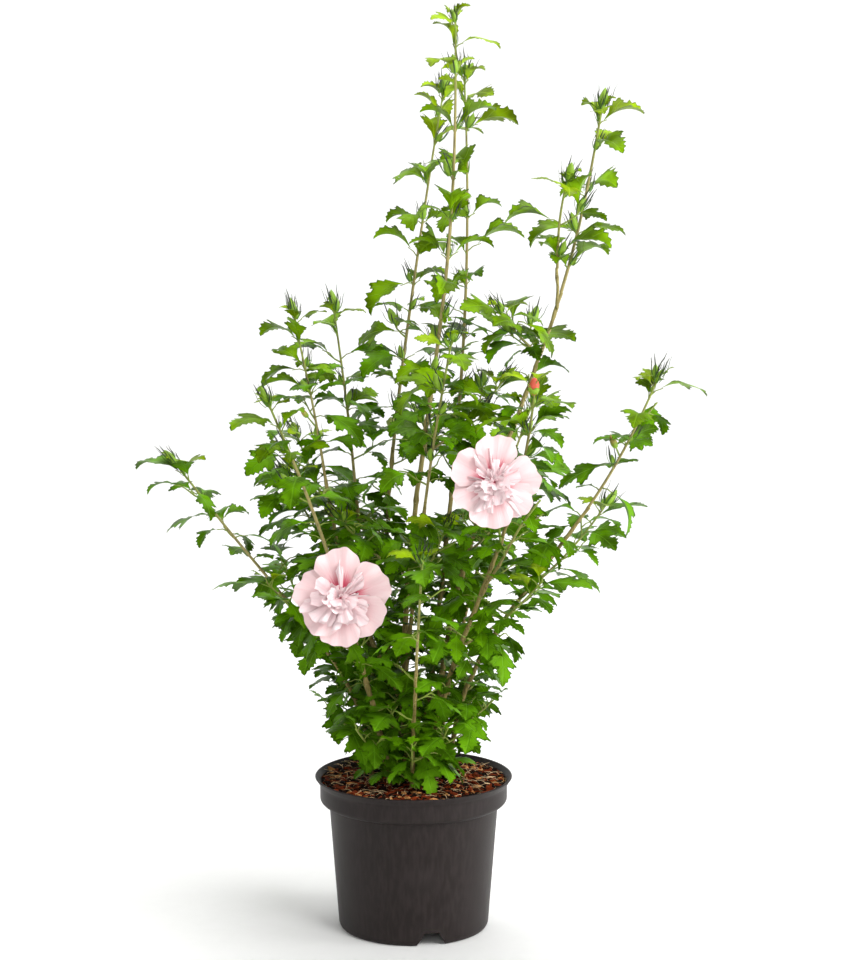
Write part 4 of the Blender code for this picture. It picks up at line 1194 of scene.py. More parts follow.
LEAF_KINDS = (              # (pitch at the root and the tip, fold, droop, depth of the lobes)
    (0.60, -0.85, 0.45, 0.10, 0.30),
    (0.35, -0.90, 0.22, 0.18, 0.70),
    (0.15, -0.80, 0.10, 0.25, 1.00),
)
LEAF_STEPS = 20
LEAF_HALF = 0.37            # half the width of a blade, as a share of its length
MIDRIB_POWER = 1.3          # the midrib bends more towards the tip


def leaf_shape(name, rng, start, end, fold, droop, lobes):
    """A three-lobed toothed blade of unit length whose midrib bends from start to end."""
    sides = (rng.uniform(0.88, 1.08), rng.uniform(0.88, 1.08))
    sway, twist = rng.uniform(-0.07, 0.07), rng.uniform(-0.5, 0.5)
    phase, wave = rng.uniform(0, 6.28), rng.uniform(0.022, 0.045)
    spine = [Vector((0.0, 0.0, 0.0))]
    for k in range(LEAF_STEPS):
        pitch = start + (end - start) * ((k + 0.5) / LEAF_STEPS) ** MIDRIB_POWER
        step = Vector((math.cos(pitch), 0.0, math.sin(pitch))) / LEAF_STEPS
        spine.append(spine[-1] + step)
    points, uvs, margin, faces = [], [], [], []

    def lay(along, across, rim=1.0):
        """Adds a point of the flat blade, bent to the midrib, and gives its number."""
        place = min(along, 0.9999) * LEAF_STEPS
        at = spine[int(place)].lerp(spine[int(place) + 1], place % 1.0)
        pitch = start + (end - start) * along ** MIDRIB_POWER
        out = abs(across)
        lift = fold * out - droop * out * out / LEAF_HALF
        lift += wave * math.sin(9.0 * along + phase + 3.0 * across) * min(1.0, out / 0.15)
        turn = twist * along
        side = across * math.cos(turn) - lift * math.sin(turn) + sway * along * along
        rise = across * math.sin(turn) + lift * math.cos(turn)
        points.append(at + Vector((-math.sin(pitch) * rise, side, math.cos(pitch) * rise)))
        uvs.append((along, 0.5 + across))
        # rim is 1 on the outline and 0 inside; the leaf's material paints a darker shade towards
        # the outline
        margin.append((rim, 0.0))
        return len(points) - 1

    ribs = [lay(row.rib, 0.0, 0.0) for row in LEAF_ROWS] + [lay(1.0, 0.0)]
    for sign, size in zip((-1.0, 1.0), sides):
        inner = [lay(row.inner[0], sign * size * row.inner[1], 0.0) for row in LEAF_ROWS]
        rims = [lay(row.rim[0], sign * size * (row.rim[1] + (1.0 - lobes) * row.fill))
                for row in LEAF_ROWS]
        for k, row in enumerate(LEAF_ROWS):
            teeth = [lay(x, sign * size * (y + (1.0 - lobes) * row.fill)) for x, y in row.teeth]
            if k + 1 < len(LEAF_ROWS):
                loops = [(ribs[k], ribs[k + 1], inner[k + 1], inner[k]),
                         (inner[k], inner[k + 1], rims[k + 1], *reversed(teeth), rims[k])]
            else:
                loops = [(ribs[k], ribs[k + 1], inner[k]),
                         (inner[k], ribs[k + 1], *reversed(teeth), rims[k])]
            faces += loops if sign > 0 else [loop[::-1] for loop in loops]
    return mesh_of(name, points, faces, leaf=uvs, margin=margin)


def leaf_shapes():
    """Blades for high, middle and low leaves: arching, spreading and hanging."""
    rng = random.Random(SEED)
    made = []
    for kind, (start, end, fold, droop, lobes) in enumerate(LEAF_KINDS):
        for k in range(LEAF_SHAPES):
            made.append(leaf_shape(f"leaf_{kind}_{k}", rng, start + rng.uniform(-0.15, 0.15),
                                   end + rng.uniform(-0.35, 0.35), fold + rng.uniform(-0.1, 0.2),
                                   droop + rng.uniform(-0.06, 0.1),
                                   lobes + rng.uniform(-0.25, 0.0)))
    return made


def turned_mesh(profile, sides, ribs=0.0, swirl=0.0):
    """A closed body of (place along +X, radius), with ribs that swirl along it."""
    points, uvs = [], []
    longest = profile[-1][0]
    for x, radius in profile:
        for k in range(sides):
            angle = 2 * math.pi * k / sides + swirl * x / longest
            reach = radius * (1 + ribs * (1 if k % 2 else -1))
            points.append((x, reach * math.cos(angle), reach * math.sin(angle)))
            uvs.append((x / longest, k / sides))
    return points, tube_faces(len(profile), sides), uvs


def bract_ring(count, length, spread, rng):
    """Thin upright bracts that stand round a bud and bow outwards a little."""
    points, uvs, faces = [], [], []
    rows = 5
    for k in range(count):
        angle = 2 * math.pi * (k + rng.uniform(-0.2, 0.2)) / count
        out = Vector((0.0, math.cos(angle), math.sin(angle)))
        side = Vector((0.0, -math.sin(angle), math.cos(angle)))
        reach = length * rng.uniform(0.7, 1.1)
        lean = spread * rng.uniform(0.5, 1.5)
        bend = rng.uniform(-0.12, 0.12)
        first = len(points)
        for row in range(rows):
            s = row / (rows - 1)
            middle = (Vector((0.03 + reach * s, 0, 0)) + side * bend * s * s
                      + out * (0.16 + 0.22 * math.sin(math.pi * min(1.0, s / 0.7)) * 0.5
                               + lean * s))
            half = 0.050 * (1 - s) ** 0.5 + 0.010
            points += [middle - side * half, middle + out * 0.7 * half, middle + side * half]
            uvs += [(s, 0.0), (s, 0.5), (s, 1.0)]
        for row in range(rows - 1):
            a = first + 3 * row
            faces += [(a, a + 1, a + 4, a + 3), (a + 1, a + 2, a + 5, a + 4),
                      (a + 2, a, a + 3, a + 5)]
    return points, faces, uvs


def bud_mesh(name, shape):
    """A mesh of (points, faces, uvs) for the skin of a bud."""
    points, faces, uvs = shape
    return mesh_of(name, points, faces, bud=uvs)


BUD_PROFILE = ((0.0, 0.10), (0.08, 0.19), (0.30, 0.25), (0.58, 0.22), (0.82, 0.13), (1.0, 0.02))
# Four stages of a bud: (length and width of the calyx, spread of the bracts)
BUD_STAGES = ((0.45, 0.50, 0.06), (0.70, 0.75, 0.16), (1.00, 0.95, 0.26), (1.15, 1.08, 0.36))


def bud_shapes(settings, part):
    """Buds of unit length: the calyx, or the bracts round it."""
    rng = random.Random(SEED + 3)
    made = []
    for k, (long, wide, spread) in enumerate(BUD_STAGES):
        if part == "calyx":
            profile = [(x * long, r * wide) for x, r in BUD_PROFILE]
            shape = turned_mesh(profile, 10, ribs=0.06)
        else:
            shape = bract_ring(settings.bracts, settings.bract / settings.calyx, spread, rng)
        made.append(bud_mesh(f"bud_{part}_{k}", shape))
    return made


ROLLED_PROFILE = ((0.0, 0.13), (0.12, 0.23), (0.35, 0.29), (0.60, 0.28), (0.82, 0.20),
                  (0.95, 0.11), (1.0, 0.03))


def rolled_petals():
    """The rolled petals of a bud that is about to open, of unit length."""
    return bud_mesh("rolled_petals", turned_mesh(ROLLED_PROFILE, 14, ribs=0.10, swirl=1.6))


# The cup of a calyx, outside and then inside: (place along it, radius, share of the lobes)
CALYX_CUP = ((0.0, 0.10, 0.0), (0.10, 0.36, 0.0), (0.42, 0.50, 0.0), (0.62, 0.55, 1.0),
             (0.40, 0.38, 0.0), (0.16, 0.26, 0.0))


def open_calyx():
    """A calyx after its bloom: a cup of unit width with five pointed lobes."""
    sides = 20
    points, uvs = [], []
    for x, radius, lobe in CALYX_CUP:
        for k in range(sides):
            angle = 2 * math.pi * k / sides
            point = 0.22 * lobe * abs(math.cos(2.5 * angle))
            points.append((x + point, radius * math.cos(angle), radius * math.sin(angle)))
            uvs.append((x, k / sides))
    return bud_mesh("open_calyx", (points, tube_faces(len(CALYX_CUP), sides), uvs))


def petal_shape(length, opening, curl, ruffle, waves, ragged, rng, rows=9, columns=9):
    """A fan-shaped petal along +X that faces +Z, with a curled and ruffled rim.

    opening is half the angle of the fan, in radians, and ragged is how far the rim's
    outline wanders, as a share of the length.
    """
    points, uvs, faces = [], [], []
    phase, second = rng.uniform(0, 6.28), rng.uniform(0, 6.28)
    for row in range(rows):
        v = row / (rows - 1)
        for column in range(columns):
            u = 2 * column / (columns - 1) - 1
            rim = 1.03 - 0.09 * abs(u) - 0.16 * abs(u) ** 3 + ragged * (
                math.sin(5.5 * u + phase) + 0.5 * math.sin(14 * u + second))
            angle = opening * u
            reach = length * v * rim
            x, y = reach * math.cos(angle), reach * math.sin(angle)
            wave = (math.sin(waves * math.pi * u + phase)
                    + 0.45 * math.sin(2.3 * waves * math.pi * u + second))
            z = curl * length * v * v + ruffle * length * wave * v ** 2.5
            z += 0.10 * y + 0.06 * length * u * u * v * (1 - v)
            points.append((x, y, z))
            uvs.append((column / (columns - 1), v))
        if row:
            low = columns * (row - 1)
            faces += [(low + c, low + columns + c, low + columns + c + 1, low + c + 1)
                      for c in range(columns - 1)]
    return points, faces, uvs


def joined_petals(name, petals):
    """Petals given as (points, faces, uvs, matrix) in one mesh."""
    points, faces, uvs = [], [], []
    for places, loops, pairs, matrix in petals:
        first = len(points)
        points += [matrix @ Vector(p) for p in places]
        faces += [tuple(first + i for i in loop) for loop in loops]
        uvs += pairs
    return mesh_of(name, points, faces, petal=uvs)


# --- the pieces ---------------------------------------------------------------

class HIBISCUS_OT_pot(bpy.types.Operator):
    """Build the nursery pot with its lip, band, foot and drainage notches"""
    bl_idname = "hibiscus.pot"
    bl_label = "Pot"

    PAD = 0.042                 # radius of the flat pad in the middle of the underside
    RAISED = 0.012              # height of the channel round the pad
    FOOT = 0.0045               # width and height of the bevel at the foot
    TREAD = 0.002               # half the width of the ring that the pot stands on
    BEVEL = 0.004               # under the band
    CORNER = 0.0022             # radius of the rounded corners
    CRISP = math.radians(32)    # an edge that bends more than this stays crisp
    NOTCHES = 3
    NOTCH_ANGLE = -76.0         # degrees; the front is at -90
    NOTCH_HEIGHT = 0.0155
    NOTCH_WIDTHS = (0.038, 0.017)       # at the foot and at its top
    CLEAR = 0.003               # how far a notch's cutter stands out of the pot

    def execute(self, context):
        size = context.scene.hibiscus_pot
        pot = turned_about_z("nursery_pot", rounded(self.profile(size), self.CORNER), 160)
        cutters = [self.cutter(size.base, k) for k in range(self.NOTCHES)]
        for item in cutters:
            cut = pot.modifiers.new("notch", "BOOLEAN")
            cut.operation = "DIFFERENCE"
            cut.solver = "EXACT"
            cut.object = item
        bpy.context.view_layer.update()
        shape = pot.evaluated_get(context.evaluated_depsgraph_get())
        plain = bpy.data.meshes.new_from_object(shape)
        pot.modifiers.clear()
        pot.data = plain
        for item in cutters:
            bpy.data.objects.remove(item, do_unlink=True)
        plain.shade_smooth()
        plain.set_sharp_from_angle(angle=self.CRISP)
        plain.materials.clear()
        plain.materials.append(moulded_polypropylene(size.colour[:]))
        finished(pot, ("pot",))
        return {"FINISHED"}

    def profile(self, size):
        """Half of the pot's section as (radius, height): up the inside, down the outside."""
        wall, pad, raised, top = size.wall, self.PAD, self.RAISED, size.height
        under = top - size.band_height
        lip = size.rim - size.band
        foot = size.base - self.FOOT
        return [
            (0.0, wall), (pad - wall, wall), (pad, raised + wall),
            (size.base - wall, raised + wall), (size.shoulder - wall, under + wall),
            (size.band - wall, under + 2 * wall), (size.band - wall, top - lip),
            (size.rim - 1.3 * wall, top - 0.3 * wall), (size.rim - 0.6 * wall, top),
            (size.rim, top - 0.6 * wall), (size.band + 0.3 * wall, top - 1.5 * lip),
            (size.band, top - 2.0 * lip), (size.band, under + self.BEVEL),
            (size.band - self.BEVEL, under), (size.shoulder, under), (size.base, self.FOOT),
            (foot + self.TREAD, 0.0), (foot - self.TREAD, 0.0),
            (foot - self.TREAD - 0.001, raised), (pad + wall, raised), (pad, 0.0), (0.0, 0.0)]

    def cutter(self, base, index):
        """A block with sloping sides that goes out through the foot."""
        work = bmesh.new()
        bmesh.ops.create_cube(work, size=1.0)
        for v in work.verts:
            high = v.co.z > 0
            v.co.y = math.copysign(0.5 * self.NOTCH_WIDTHS[high], v.co.y)
            v.co.x = base + self.CLEAR if v.co.x > 0 else self.PAD + 0.5 * (base - self.PAD)
            v.co.z = self.NOTCH_HEIGHT if high else -self.CLEAR
        angle = math.radians(self.NOTCH_ANGLE + index * 360.0 / self.NOTCHES)
        work.transform(Matrix.Rotation(angle, 4, "Z"))
        mesh = bpy.data.meshes.new("notch")
        work.to_mesh(mesh)
        work.free()
        return new_object("notch", mesh)


class HIBISCUS_OT_mulch(bpy.types.Operator):
    """Fill the pot and strew bark chips and fibres over the soil"""
    bl_idname = "hibiscus.mulch"
    bl_label = "Soil and mulch"

    GAP = 0.0004                # between the soil and the wall
    DEPTH = 0.022               # of the built part of the soil
    STEPS = 96                  # points round its rim
    LUMP = 1 / 70               # width of the soil's lumps
    LUMP_HEIGHT = 0.0022
    FIBRE_SIZES = (0.008, 0.024)

    def execute(self, context):
        size = context.scene.hibiscus_mulch
        pot = context.scene.hibiscus_pot
        edge = pot.band - pot.wall - self.GAP
        self.top = SOIL_LEVEL + size.heap
        bed = self.bed(edge)
        bed.data.materials.append(composted_bark("composted bark bed", size.dark[:]))
        finished(bed, ("potting_soil",))
        top = mesh_of("bed_top", *self.bed_grid(0.975 * edge, 12, 48))
        chips = shape_collection("chip", [self.chip(k) for k in range(LITTER_SHAPES)])
        fibres = shape_collection("fibre", [self.fibre(k) for k in range(LITTER_SHAPES)])
        chip_sizes = (size.shortest, size.longest)
        tree = litter_tree()
        for k, (name, colour, shapes, density, (smallest, largest)) in enumerate((
                ("wet_chips", size.dark, chips, 0.40 * size.density, chip_sizes),
                ("brown_chips", size.middle, chips, 0.34 * size.density, chip_sizes),
                ("torn_chips", size.light, chips, 0.08 * size.density, chip_sizes),
                ("loose_fibres", size.fibre, fibres, size.fibres, self.FIBRE_SIZES))):
            skin = composted_bark(name.replace("_", " "), colour[:])
            piece = grown(name, top.copy(), tree, {
                "Shapes": shapes, "Density": density, "Smallest": smallest,
                "Largest": largest, "Seed": SEED + k, "Material": skin})
            finished(piece)
        return {"FINISHED"}

    def surface(self, x, y, edge):
        """The height of the lumpy bed, which dips a little towards the wall."""
        away = math.hypot(x, y) / edge
        lumps = noise.noise(Vector((x, y, 0.0)) / self.LUMP) * self.LUMP_HEIGHT
        return self.top - 0.0010 - 0.002 * max(0.0, away - 0.6) + lumps

    def bed_grid(self, edge, rings, steps):
        """Points and faces of the soil's top."""
        points = [(0.0, 0.0, self.surface(0, 0, edge))]
        for ring in range(1, rings + 1):
            points += [(x, y, self.surface(x, y, edge))
                       for x, y in circle(steps, edge * ring / rings)]
        return points, disc_faces(rings, steps)

    def bed(self, edge):
        """The top of the soil, closed by a wall and a flat bottom."""
        points, faces = self.bed_grid(edge, 28, self.STEPS)
        low = len(points)
        rim = low - self.STEPS
        points += [(0.96 * x, 0.96 * y, self.top - self.DEPTH) for x, y, z in points[rim:low]]
        faces += ring_faces(2, self.STEPS, first=rim, flipped=True)
        faces.append(tuple(range(low, low + self.STEPS))[::-1])
        return faced_outwards(new_object("soil_bed", mesh_of("soil_bed", points, faces)))

    @staticmethod
    def chip(index):
        """A splintered flake of bark of unit length."""
        rng = random.Random(SEED + index)
        wide, thick = rng.uniform(0.10, 0.26), rng.uniform(0.05, 0.12)
        points = []
        for row, x in enumerate((-0.5, -0.25, 0.12, 0.5)):
            shrink = (0.45, 1.0, 0.9, 0.3)[row] * rng.uniform(0.8, 1.2)
            bow = 0.10 * (1 - 4 * x * x) + rng.uniform(-0.03, 0.03)
            side = rng.uniform(-0.06, 0.06)
            for y, z in ((-1, -1), (1, -0.6), (0.8, 1), (-0.9, 0.7)):
                points.append((x, side + y * wide * shrink, bow + z * thick * shrink))
        mesh = mesh_of(f"chip_{index}", points, tube_faces(4, 4))
        mesh.shade_flat()
        return mesh

    @staticmethod
    def fibre(index):
        """A thin curled strand of unit length."""
        rng = random.Random(SEED + 40 + index)
        curl, lift = rng.uniform(-0.25, 0.25), rng.uniform(0.02, 0.12)
        points = []
        for row in range(7):
            s = row / 6
            middle = Vector((s - 0.5, curl * math.sin(3.0 * s), 0.06 + lift * math.sin(4.0 * s)))
            half = 0.020 * (1 - 0.6 * abs(2 * s - 1))
            points += [middle + Vector((0, half, 0)), middle + Vector((0, -half, 0)),
                       middle + Vector((0, 0, 1.4 * half))]
        return mesh_of(f"fibre_{index}", points, tube_faces(7, 3))


class HIBISCUS_OT_canes(bpy.types.Operator):
    """Grow the woody canes with their bark, joints and swollen feet"""
    bl_idname = "hibiscus.canes"
    bl_label = "Canes"

    RING_SPACING = 0.0045
    KNOT = 0.0035               # half the length of the swelling at a joint
    WANDER = 0.0012             # how far a cane wanders off its line
    WANDER_LENGTH = 1 / 45      # and over which length
    BURIED = 0.006              # how deep its end is in the soil or under a fork

    def execute(self, context):
        size = context.scene.hibiscus_wood
        bark = hibiscus_bark("hibiscus bark", size.old[:], size.young[:], bottom=0.22, top=0.75)
        tree = stem_tree()
        noise.seed_set(SEED)        # otherwise noise_vector takes its seed from the clock
        for cane in CANES:
            # the tree's noise swings by half its height to each side
            stems_piece(f"bark_{cane.name}", [self.wood(cane, size)], tree, bark, (cane.name,),
                        Sides=14, Relief=size.relief * 2.0, Furrow=0.0035)
        return {"FINISHED"}

    def wood(self, cane, size):
        """Rings every few millimetres, thicker at each joint and wandering a little."""
        rise = cane.tip[2] - cane_start(cane).z
        count = max(12, round(cane.bare * rise / self.RING_SPACING))
        points, radii = [], []
        if isinstance(cane.foot, Fork):
            parent = cane_by_name(cane.foot.parent)
            points.append(cane_point(parent, cane.foot.share) - UP * self.BURIED)
            radii.append(0.6 * cane.radius)
        for k in range(count + 1):
            share = cane.bare * k / count
            place = cane_point(cane, share)
            radius = cane_radius(cane, share)
            if k == 0 and not isinstance(cane.foot, Fork):
                place.z = SOIL_LEVEL - self.BURIED
            joint = (share * rise / size.joint + 0.37) % 1.0
            knot = math.exp(-((joint - 0.5) * size.joint / self.KNOT) ** 2)
            shake = noise.noise_vector(place / self.WANDER_LENGTH) * self.WANDER
            points.append(place + Vector((shake.x, shake.y, 0.0)) * min(1.0, 12 * share))
            radii.append(radius * (1 + size.swelling * knot))
        return points, radii


class HIBISCUS_OT_shoots(bpy.types.Operator):
    """Grow the green shoots, twigs and leaf stalks"""
    bl_idname = "hibiscus.shoots"
    bl_label = "Shoots and stalks"

    def execute(self, context):
        size = context.scene.hibiscus_wood
        green = green_bark(size.young[:], size.shoot[:])
        stems_piece("green_shoots", crown().shoots, stem_tree(), green)
        return {"FINISHED"}


class HIBISCUS_OT_leaves(bpy.types.Operator):
    """Set the toothed leaves on their stalks, each age in its own green"""
    bl_idname = "hibiscus.leaves"
    bl_label = "Leaves"

    def execute(self, context):
        size = context.scene.hibiscus_leaves
        shapes = shape_collection("leaf", leaf_shapes())
        tree = sprig_tree()
        sprays = sorted(name for name in frame["nodes"] if name.startswith("foliage_"))
        for age in AGES:
            sprigs = crown().leaves[age]
            if not sprigs:
                raise RuntimeError(f"no {age} leaves grew")
            piece = grown(f"leaves_{age}", sprigs_mesh(age, sprigs), tree, {
                "Shapes": shapes, "Size": 1.0,
                "Material": leaf_blade(f"{age} leaf blade", getattr(size, age)[:])})
            finished(piece, sprays)
        return {"FINISHED"}


# Buds that stand alone: (cane, share of its height, azimuth and climb in degrees, length of
# the stalk, length of the bud)
Single = namedtuple("Single", "cane share azimuth climb stalk size")


class HIBISCUS_OT_buds(bpy.types.Operator):
    """Set the buds in their bracts, the opening bud and the spent calyces"""
    bl_idname = "hibiscus.buds"
    bl_label = "Buds"

    OPENING = (Single(OPENING_CANE, 0.965, 275, 80, 0.004, 0.019),)
    CUP = 0.0115                # width of the calyx round the opening bud
    STALK_RADII = [0.0011, 0.0009, 0.0010]
    FADED = (Single("bough_left", 0.71, 200, 50, 0.016, 0.014),
             Single("cane_left_back", 0.73, 270, 55, 0.012, 0.013),
             Single("cane_far_right", 0.80, 200, 65, 0.010, 0.017),
             Single("cane_back_right", 0.62, 80, 40, 0.014, 0.014))
    SPENT = (Single("bough_left", 0.53, 270, 20, 0.012, 0.011),
             Single("bough_middle_front", 0.37, 270, 25, 0.012, 0.013),
             Single("cane_mid_back", 0.50, 100, 30, 0.012, 0.012))
    WITHERED = (Single("cane_right_front", 0.12, 250, -10, 0.010, 0.024),
                Single("cane_left_back", 0.08, 110, -10, 0.010, 0.026))

    def execute(self, context):
        size = context.scene.hibiscus_buds
        wood = context.scene.hibiscus_wood
        tree = sprig_tree()
        base = sprigs_mesh("buds", crown().buds)
        calyx = bud_skin("calyx skin", size.green[:], shaded(size.green, 0.8))
        bract = bud_skin("bract skin", size.bract_colour[:], size.dark[:], start=0.25)
        for part, skin in (("calyx", calyx), ("bracts", bract)):
            shapes = shape_collection(f"bud_{part}", bud_shapes(size, part))
            self.planted(f"bud_{part}", base.copy(), tree, shapes, skin)
        coral = bud_skin("rolled petal skin", size.coral[:], shaded(size.coral, 0.75))
        faded = bud_skin("dried bud skin", size.green[:], size.faded[:], start=0.3)
        spent = bud_skin("spent calyx skin", size.spent[:], shaded(size.spent, 0.7))
        dry = leaf_blade("withered leaf blade", size.withered[:])
        cups = [self.single(one._replace(size=self.CUP), []) for one in self.OPENING]
        self.planted("opening_cup", sprigs_mesh("opening_cup", cups), tree,
                     shape_collection("opening_cup", [open_calyx()]), calyx)
        stalks = []
        for name, singles, shape, skin in (
                ("opening_bud", self.OPENING, rolled_petals(), coral),
                ("dried_buds", self.FADED, bud_shapes(size, "calyx")[2], faded),
                ("spent_calyces", self.SPENT, open_calyx(), spent),
                ("withered_leaves", self.WITHERED, leaf_shapes()[-1], dry)):
            sprigs = [self.single(one, stalks) for one in singles]
            self.planted(name, sprigs_mesh(name, sprigs), tree, shape_collection(name, [shape]),
                         skin)
        stems_piece("bud_stalks", stalks, stem_tree(), green_bark(wood.young[:], wood.shoot[:]))
        return {"FINISHED"}

    @staticmethod
    def planted(name, base, tree, shapes, skin):
        """Hands over one piece of shapes that stand on the base's points."""
        piece = grown(name, base, tree, {"Shapes": shapes, "Size": 1.0, "Material": skin})
        finished(piece)

    def single(self, one, stalks):
        """A lone bud on its stalk, which joins the list of stalks."""
        cane = cane_by_name(one.cane)
        root = cane_point(cane, one.share)
        along = heading(math.radians(one.azimuth), math.radians(one.climb))
        base = root + along * (cane_radius(cane, one.share) + one.stalk)
        stalks.append(([root, base, base + along * 0.1 * one.size], self.STALK_RADII))
        return Sprig(base, framed(along, UP).to_euler(), one.size, 0)


class HIBISCUS_OT_blooms(bpy.types.Operator):
    """Build the double blooms with their broad outer petals and ruffled middle"""
    bl_idname = "hibiscus.blooms"
    bl_label = "Blooms"

    # Rings of inner petals: how many, their length and how far in front of the calyx they
    # stand, both as shares of the bloom's radius, their lean off the bloom's face and half
    # the angle of each, in degrees.
    RINGS = ((11, 0.80, -0.04, 8, 17), (11, 0.66, 0.02, 18, 17), (9, 0.52, 0.08, 32, 20),
             (8, 0.40, 0.12, 48, 24), (6, 0.30, 0.15, 64, 30))
    STALK_RADIUS = 0.0016
    BEHIND = 0.016              # from the bloom's centre back to the end of its calyx
    CALYX = ((0.0, 0.0022), (0.004, 0.0052), (0.009, 0.0060), (0.013, 0.0040))  # place, radius

    def execute(self, context):
        size = context.scene.hibiscus_blooms
        shoot = context.scene.hibiscus_wood.shoot[:]
        outer = petal_tissue("outer petal tissue", size.rim[:], size.throat[:],
                             streak_end=0.55, flush_and_shade=0.34)
        inner = petal_tissue("inner petal tissue", size.middle[:], size.throat[:],
                             streak_end=0.28, flush_and_shade=0.22)
        green = green_bark(shoot, shoot)
        for k, bloom in enumerate(BLOOMS):
            rng = random.Random(SEED + 7 * k)
            turn = framed(Vector(bloom.facing), UP).to_4x4()
            frame_at = Matrix.Translation(Vector(bloom.centre)) @ turn
            for part, petals, tissue, replaced in (
                    ("outer_petals", self.outer(bloom, frame_at, rng), outer, (bloom.name,)),
                    ("inner_petals", self.inner(bloom, frame_at, rng), inner, ())):
                name = f"{bloom.name}_{part}"
                piece = new_object(name, joined_petals(name, petals))
                piece.data.materials.append(tissue)
                finished(piece, replaced)
            self.stalk(bloom, green)
        return {"FINISHED"}

    @staticmethod
    def petal_frame(frame_at, angle, lean, ahead):
        """A petal's own frame, at an angle round the bloom and leaning off its face."""
        radial = Vector((0.0, math.cos(angle), math.sin(angle)))
        face = Vector((1.0, 0.0, 0.0))
        along = radial * math.cos(lean) + face * math.sin(lean)
        normal = face * math.cos(lean) - radial * math.sin(lean)
        turn = Matrix((along, normal.cross(along), normal)).transposed().to_4x4()
        return frame_at @ Matrix.Translation((ahead, 0.0, 0.0)) @ turn

    def outer(self, bloom, frame_at, rng):
        """The broad outer petals, each at its own place."""
        made = []
        for degrees, share in bloom.petals:
            half = math.radians(rng.uniform(35, 41))
            shape = petal_shape(bloom.radius * share, half, curl=0.02, ruffle=0.045, waves=1.7,
                                ragged=0.032, rng=rng, rows=20, columns=27)
            lean = math.radians(5 + rng.uniform(-4, 4))
            angle = math.radians(degrees)
            made.append((*shape, self.petal_frame(frame_at, angle, lean, -0.006)))
        return made

    def inner(self, bloom, frame_at, rng):
        """The rings of narrow ruffled petals, steeper towards the middle."""
        made = []
        for ring, (count, share, ahead, lean, opening) in enumerate(self.RINGS):
            for k in range(count):
                angle = 2 * math.pi * (k + 0.5 * (ring % 2) + rng.uniform(-0.3, 0.3)) / count
                length = bloom.radius * share * rng.uniform(0.62, 1.12)
                tilt = math.radians(lean + rng.uniform(-9, 9))
                half = math.radians(opening * rng.uniform(0.6, 1.5))
                if math.cos(angle - math.radians(bloom.open)) > 0.4:
                    half *= rng.uniform(0.25, 0.55)     # strands, with the throat between them
                    length *= 0.85
                shape = petal_shape(length, half, curl=rng.uniform(-0.45, 0.25), ruffle=0.13,
                                    waves=rng.uniform(1.0, 2.2), ragged=0.06, rng=rng)
                roll = Matrix.Rotation(rng.uniform(-0.6, 0.6), 4, "X")
                place = self.petal_frame(frame_at, angle, tilt, ahead * bloom.radius)
                made.append((*shape, place @ roll))
        return made

    def stalk(self, bloom, green):
        """The calyx behind the petals and the stalk back to its cane."""
        root = cane_point(cane_by_name(bloom.cane), bloom.share)
        face = Vector(bloom.facing).normalized()
        back = Vector(bloom.centre) - face * self.BEHIND
        line = [root, root.lerp(back, 0.5)] + [back + face * ahead for ahead, _ in self.CALYX]
        radii = [self.STALK_RADIUS] * 2 + [radius for _, radius in self.CALYX]
        stems_piece(f"{bloom.name}_stalk", [(line, radii)], stem_tree(), green, Sides=12)


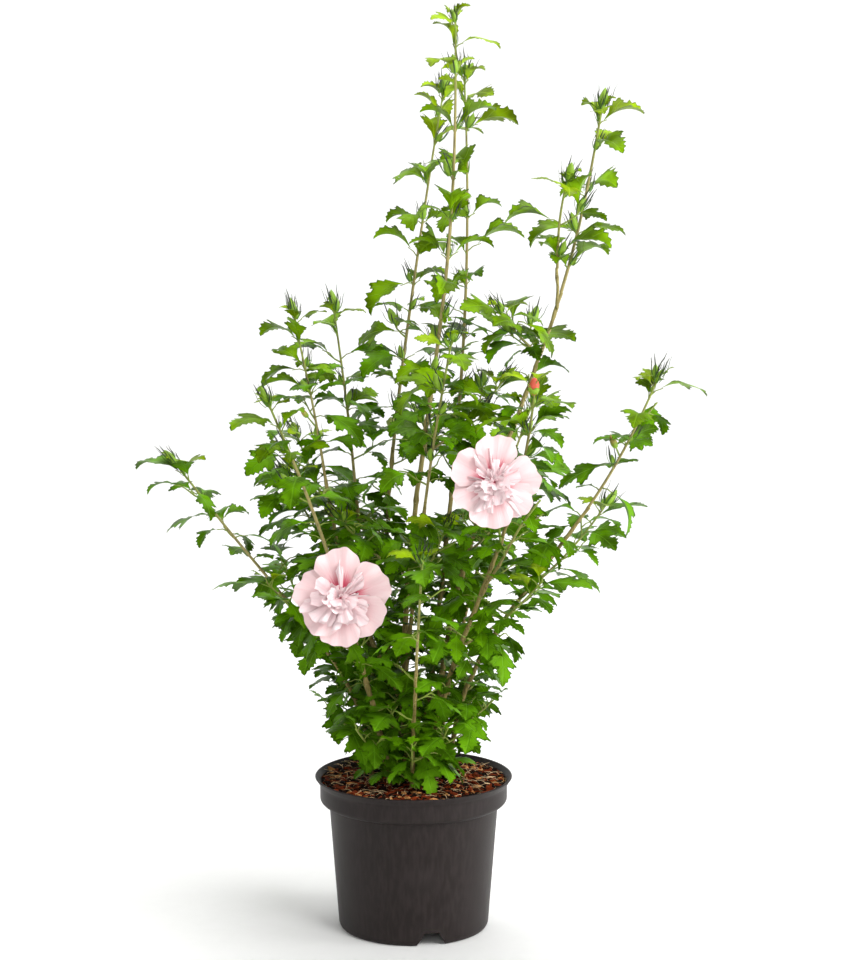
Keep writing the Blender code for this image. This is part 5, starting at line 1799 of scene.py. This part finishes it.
class HIBISCUS_OT_studio(bpy.types.Operator):
    """Set the pale floor, the soft lights and the camera"""
    bl_idname = "hibiscus.studio"
    bl_label = "Studio"

    # Lights: (name, place, target, width, power as a share of the key light's)
    LIGHTS = (("key", (1.5, -2.1, 2.6), (0.0, 0.0, 0.55), 1.5, 1.0),
              ("top", (0.3, 0.4, 2.9), (0.0, 0.0, 0.5), 1.4, 0.55),
              ("left", (-2.4, -1.2, 1.5), (0.0, 0.0, 0.45), 1.4, 0.03),
              ("right", (2.6, -0.7, 0.9), (0.0, 0.0, 0.30), 1.4, 0.80),
              ("front", (0.2, -3.4, 1.5), (0.0, 0.0, 0.30), 1.2, 0.25),
              ("backdrop", (0.0, 1.6, 3.4), (0.0, 4.4, 0.4), 2.4, 1.3))
    CAMERA = (0.0092, -3.0, 0.9701)
    PITCH = -0.1467             # radians off the level
    LENS = 99.135               # millimetres, on a sensor 36 mm wide
    FLOOR = -0.0005             # just under the pot, so that the two don't fight
    FLOOR_REACH = 3.6           # where the floor starts to curve up
    CURVE = 1.5
    WALL = 3.4

    def execute(self, context):
        size = context.scene.hibiscus_studio
        floor = new_object("studio_floor", self.sweep())
        floor.data.materials.append(studio_paint(size.floor[:]))
        world = bpy.data.worlds.new("studio")
        world.use_nodes = True
        sky = world.node_tree.nodes["Background"]
        sky.inputs["Color"].default_value = (1.0, 1.0, 1.0, 1.0)
        sky.inputs["Strength"].default_value = size.fill
        context.scene.world = world
        for name, place, target, width, share in self.LIGHTS:
            self.area(name, place, target, width, share * size.key)
        data = bpy.data.cameras.new("camera")
        data.sensor_width = 36.0
        data.lens = self.LENS
        camera = new_object("camera", data)
        camera.location = self.CAMERA
        camera.rotation_euler = (0.5 * math.pi + self.PITCH, 0.0, 0.0)
        context.scene.camera = camera
        context.scene.view_settings.view_transform = "Standard"
        return {"FINISHED"}

    @staticmethod
    def area(name, place, target, size, power):
        """A round soft light that points at its target."""
        light = bpy.data.lights.new(name, "AREA")
        light.energy = power
        light.shape = "DISK"
        light.size = size
        item = new_object(name, light)
        item.location = place
        item.rotation_euler = (Vector(target) - Vector(place)).to_track_quat("-Z", "Y").to_euler()

    def sweep(self):
        """A wide round floor that curves up all round into a pale wall."""
        steps = 72
        profile = [(self.FLOOR_REACH, 0.0)]
        profile += [(self.FLOOR_REACH + self.CURVE * math.sin(turn),
                     self.CURVE - self.CURVE * math.cos(turn))
                    for turn in (0.26 * k for k in range(1, 7))]
        profile.append((self.FLOOR_REACH + self.CURVE, self.WALL))
        points = [(0.0, 0.0, self.FLOOR)]
        for reach, height in profile:
            points += [(x, y, height + self.FLOOR) for x, y in circle(steps, reach)]
        return mesh_of("studio_floor", points, disc_faces(len(profile), steps))


OPERATORS = (HIBISCUS_OT_pot, HIBISCUS_OT_mulch, HIBISCUS_OT_canes, HIBISCUS_OT_shoots,
             HIBISCUS_OT_leaves, HIBISCUS_OT_buds, HIBISCUS_OT_blooms, HIBISCUS_OT_studio)


class HIBISCUS_PT_panel(bpy.types.Panel):
    """Lists the pieces of the shrub and their sizes"""
    bl_label = "Potted Hibiscus"
    bl_idname = "HIBISCUS_PT_panel"
    bl_space_type = "VIEW_3D"
    bl_region_type = "UI"
    bl_category = "Hibiscus"

    def draw(self, context):
        for operator in OPERATORS:
            self.layout.operator(operator.bl_idname)
        for name, group in SETTINGS.items():
            box = self.layout.box()
            for setting in group.__annotations__:
                box.prop(getattr(context.scene, name), setting)


def register():
    for name, group in SETTINGS.items():
        bpy.utils.register_class(group)
        setattr(bpy.types.Scene, name, PointerProperty(type=group))
    for item in (*OPERATORS, HIBISCUS_PT_panel):
        bpy.utils.register_class(item)


def unregister():
    for item in (HIBISCUS_PT_panel, *reversed(OPERATORS)):
        bpy.utils.unregister_class(item)
    for name, group in reversed(SETTINGS.items()):
        delattr(bpy.types.Scene, name)
        bpy.utils.unregister_class(group)


def main():
    """Builds the stage and every piece."""
    register()
    bpy.ops.hibiscus.studio()
    bpy.ops.hibiscus.pot()
    bpy.ops.hibiscus.mulch()
    bpy.ops.hibiscus.canes()
    bpy.ops.hibiscus.shoots()
    bpy.ops.hibiscus.leaves()
    bpy.ops.hibiscus.buds()
    bpy.ops.hibiscus.blooms()


if __name__ == "__main__":
    main()
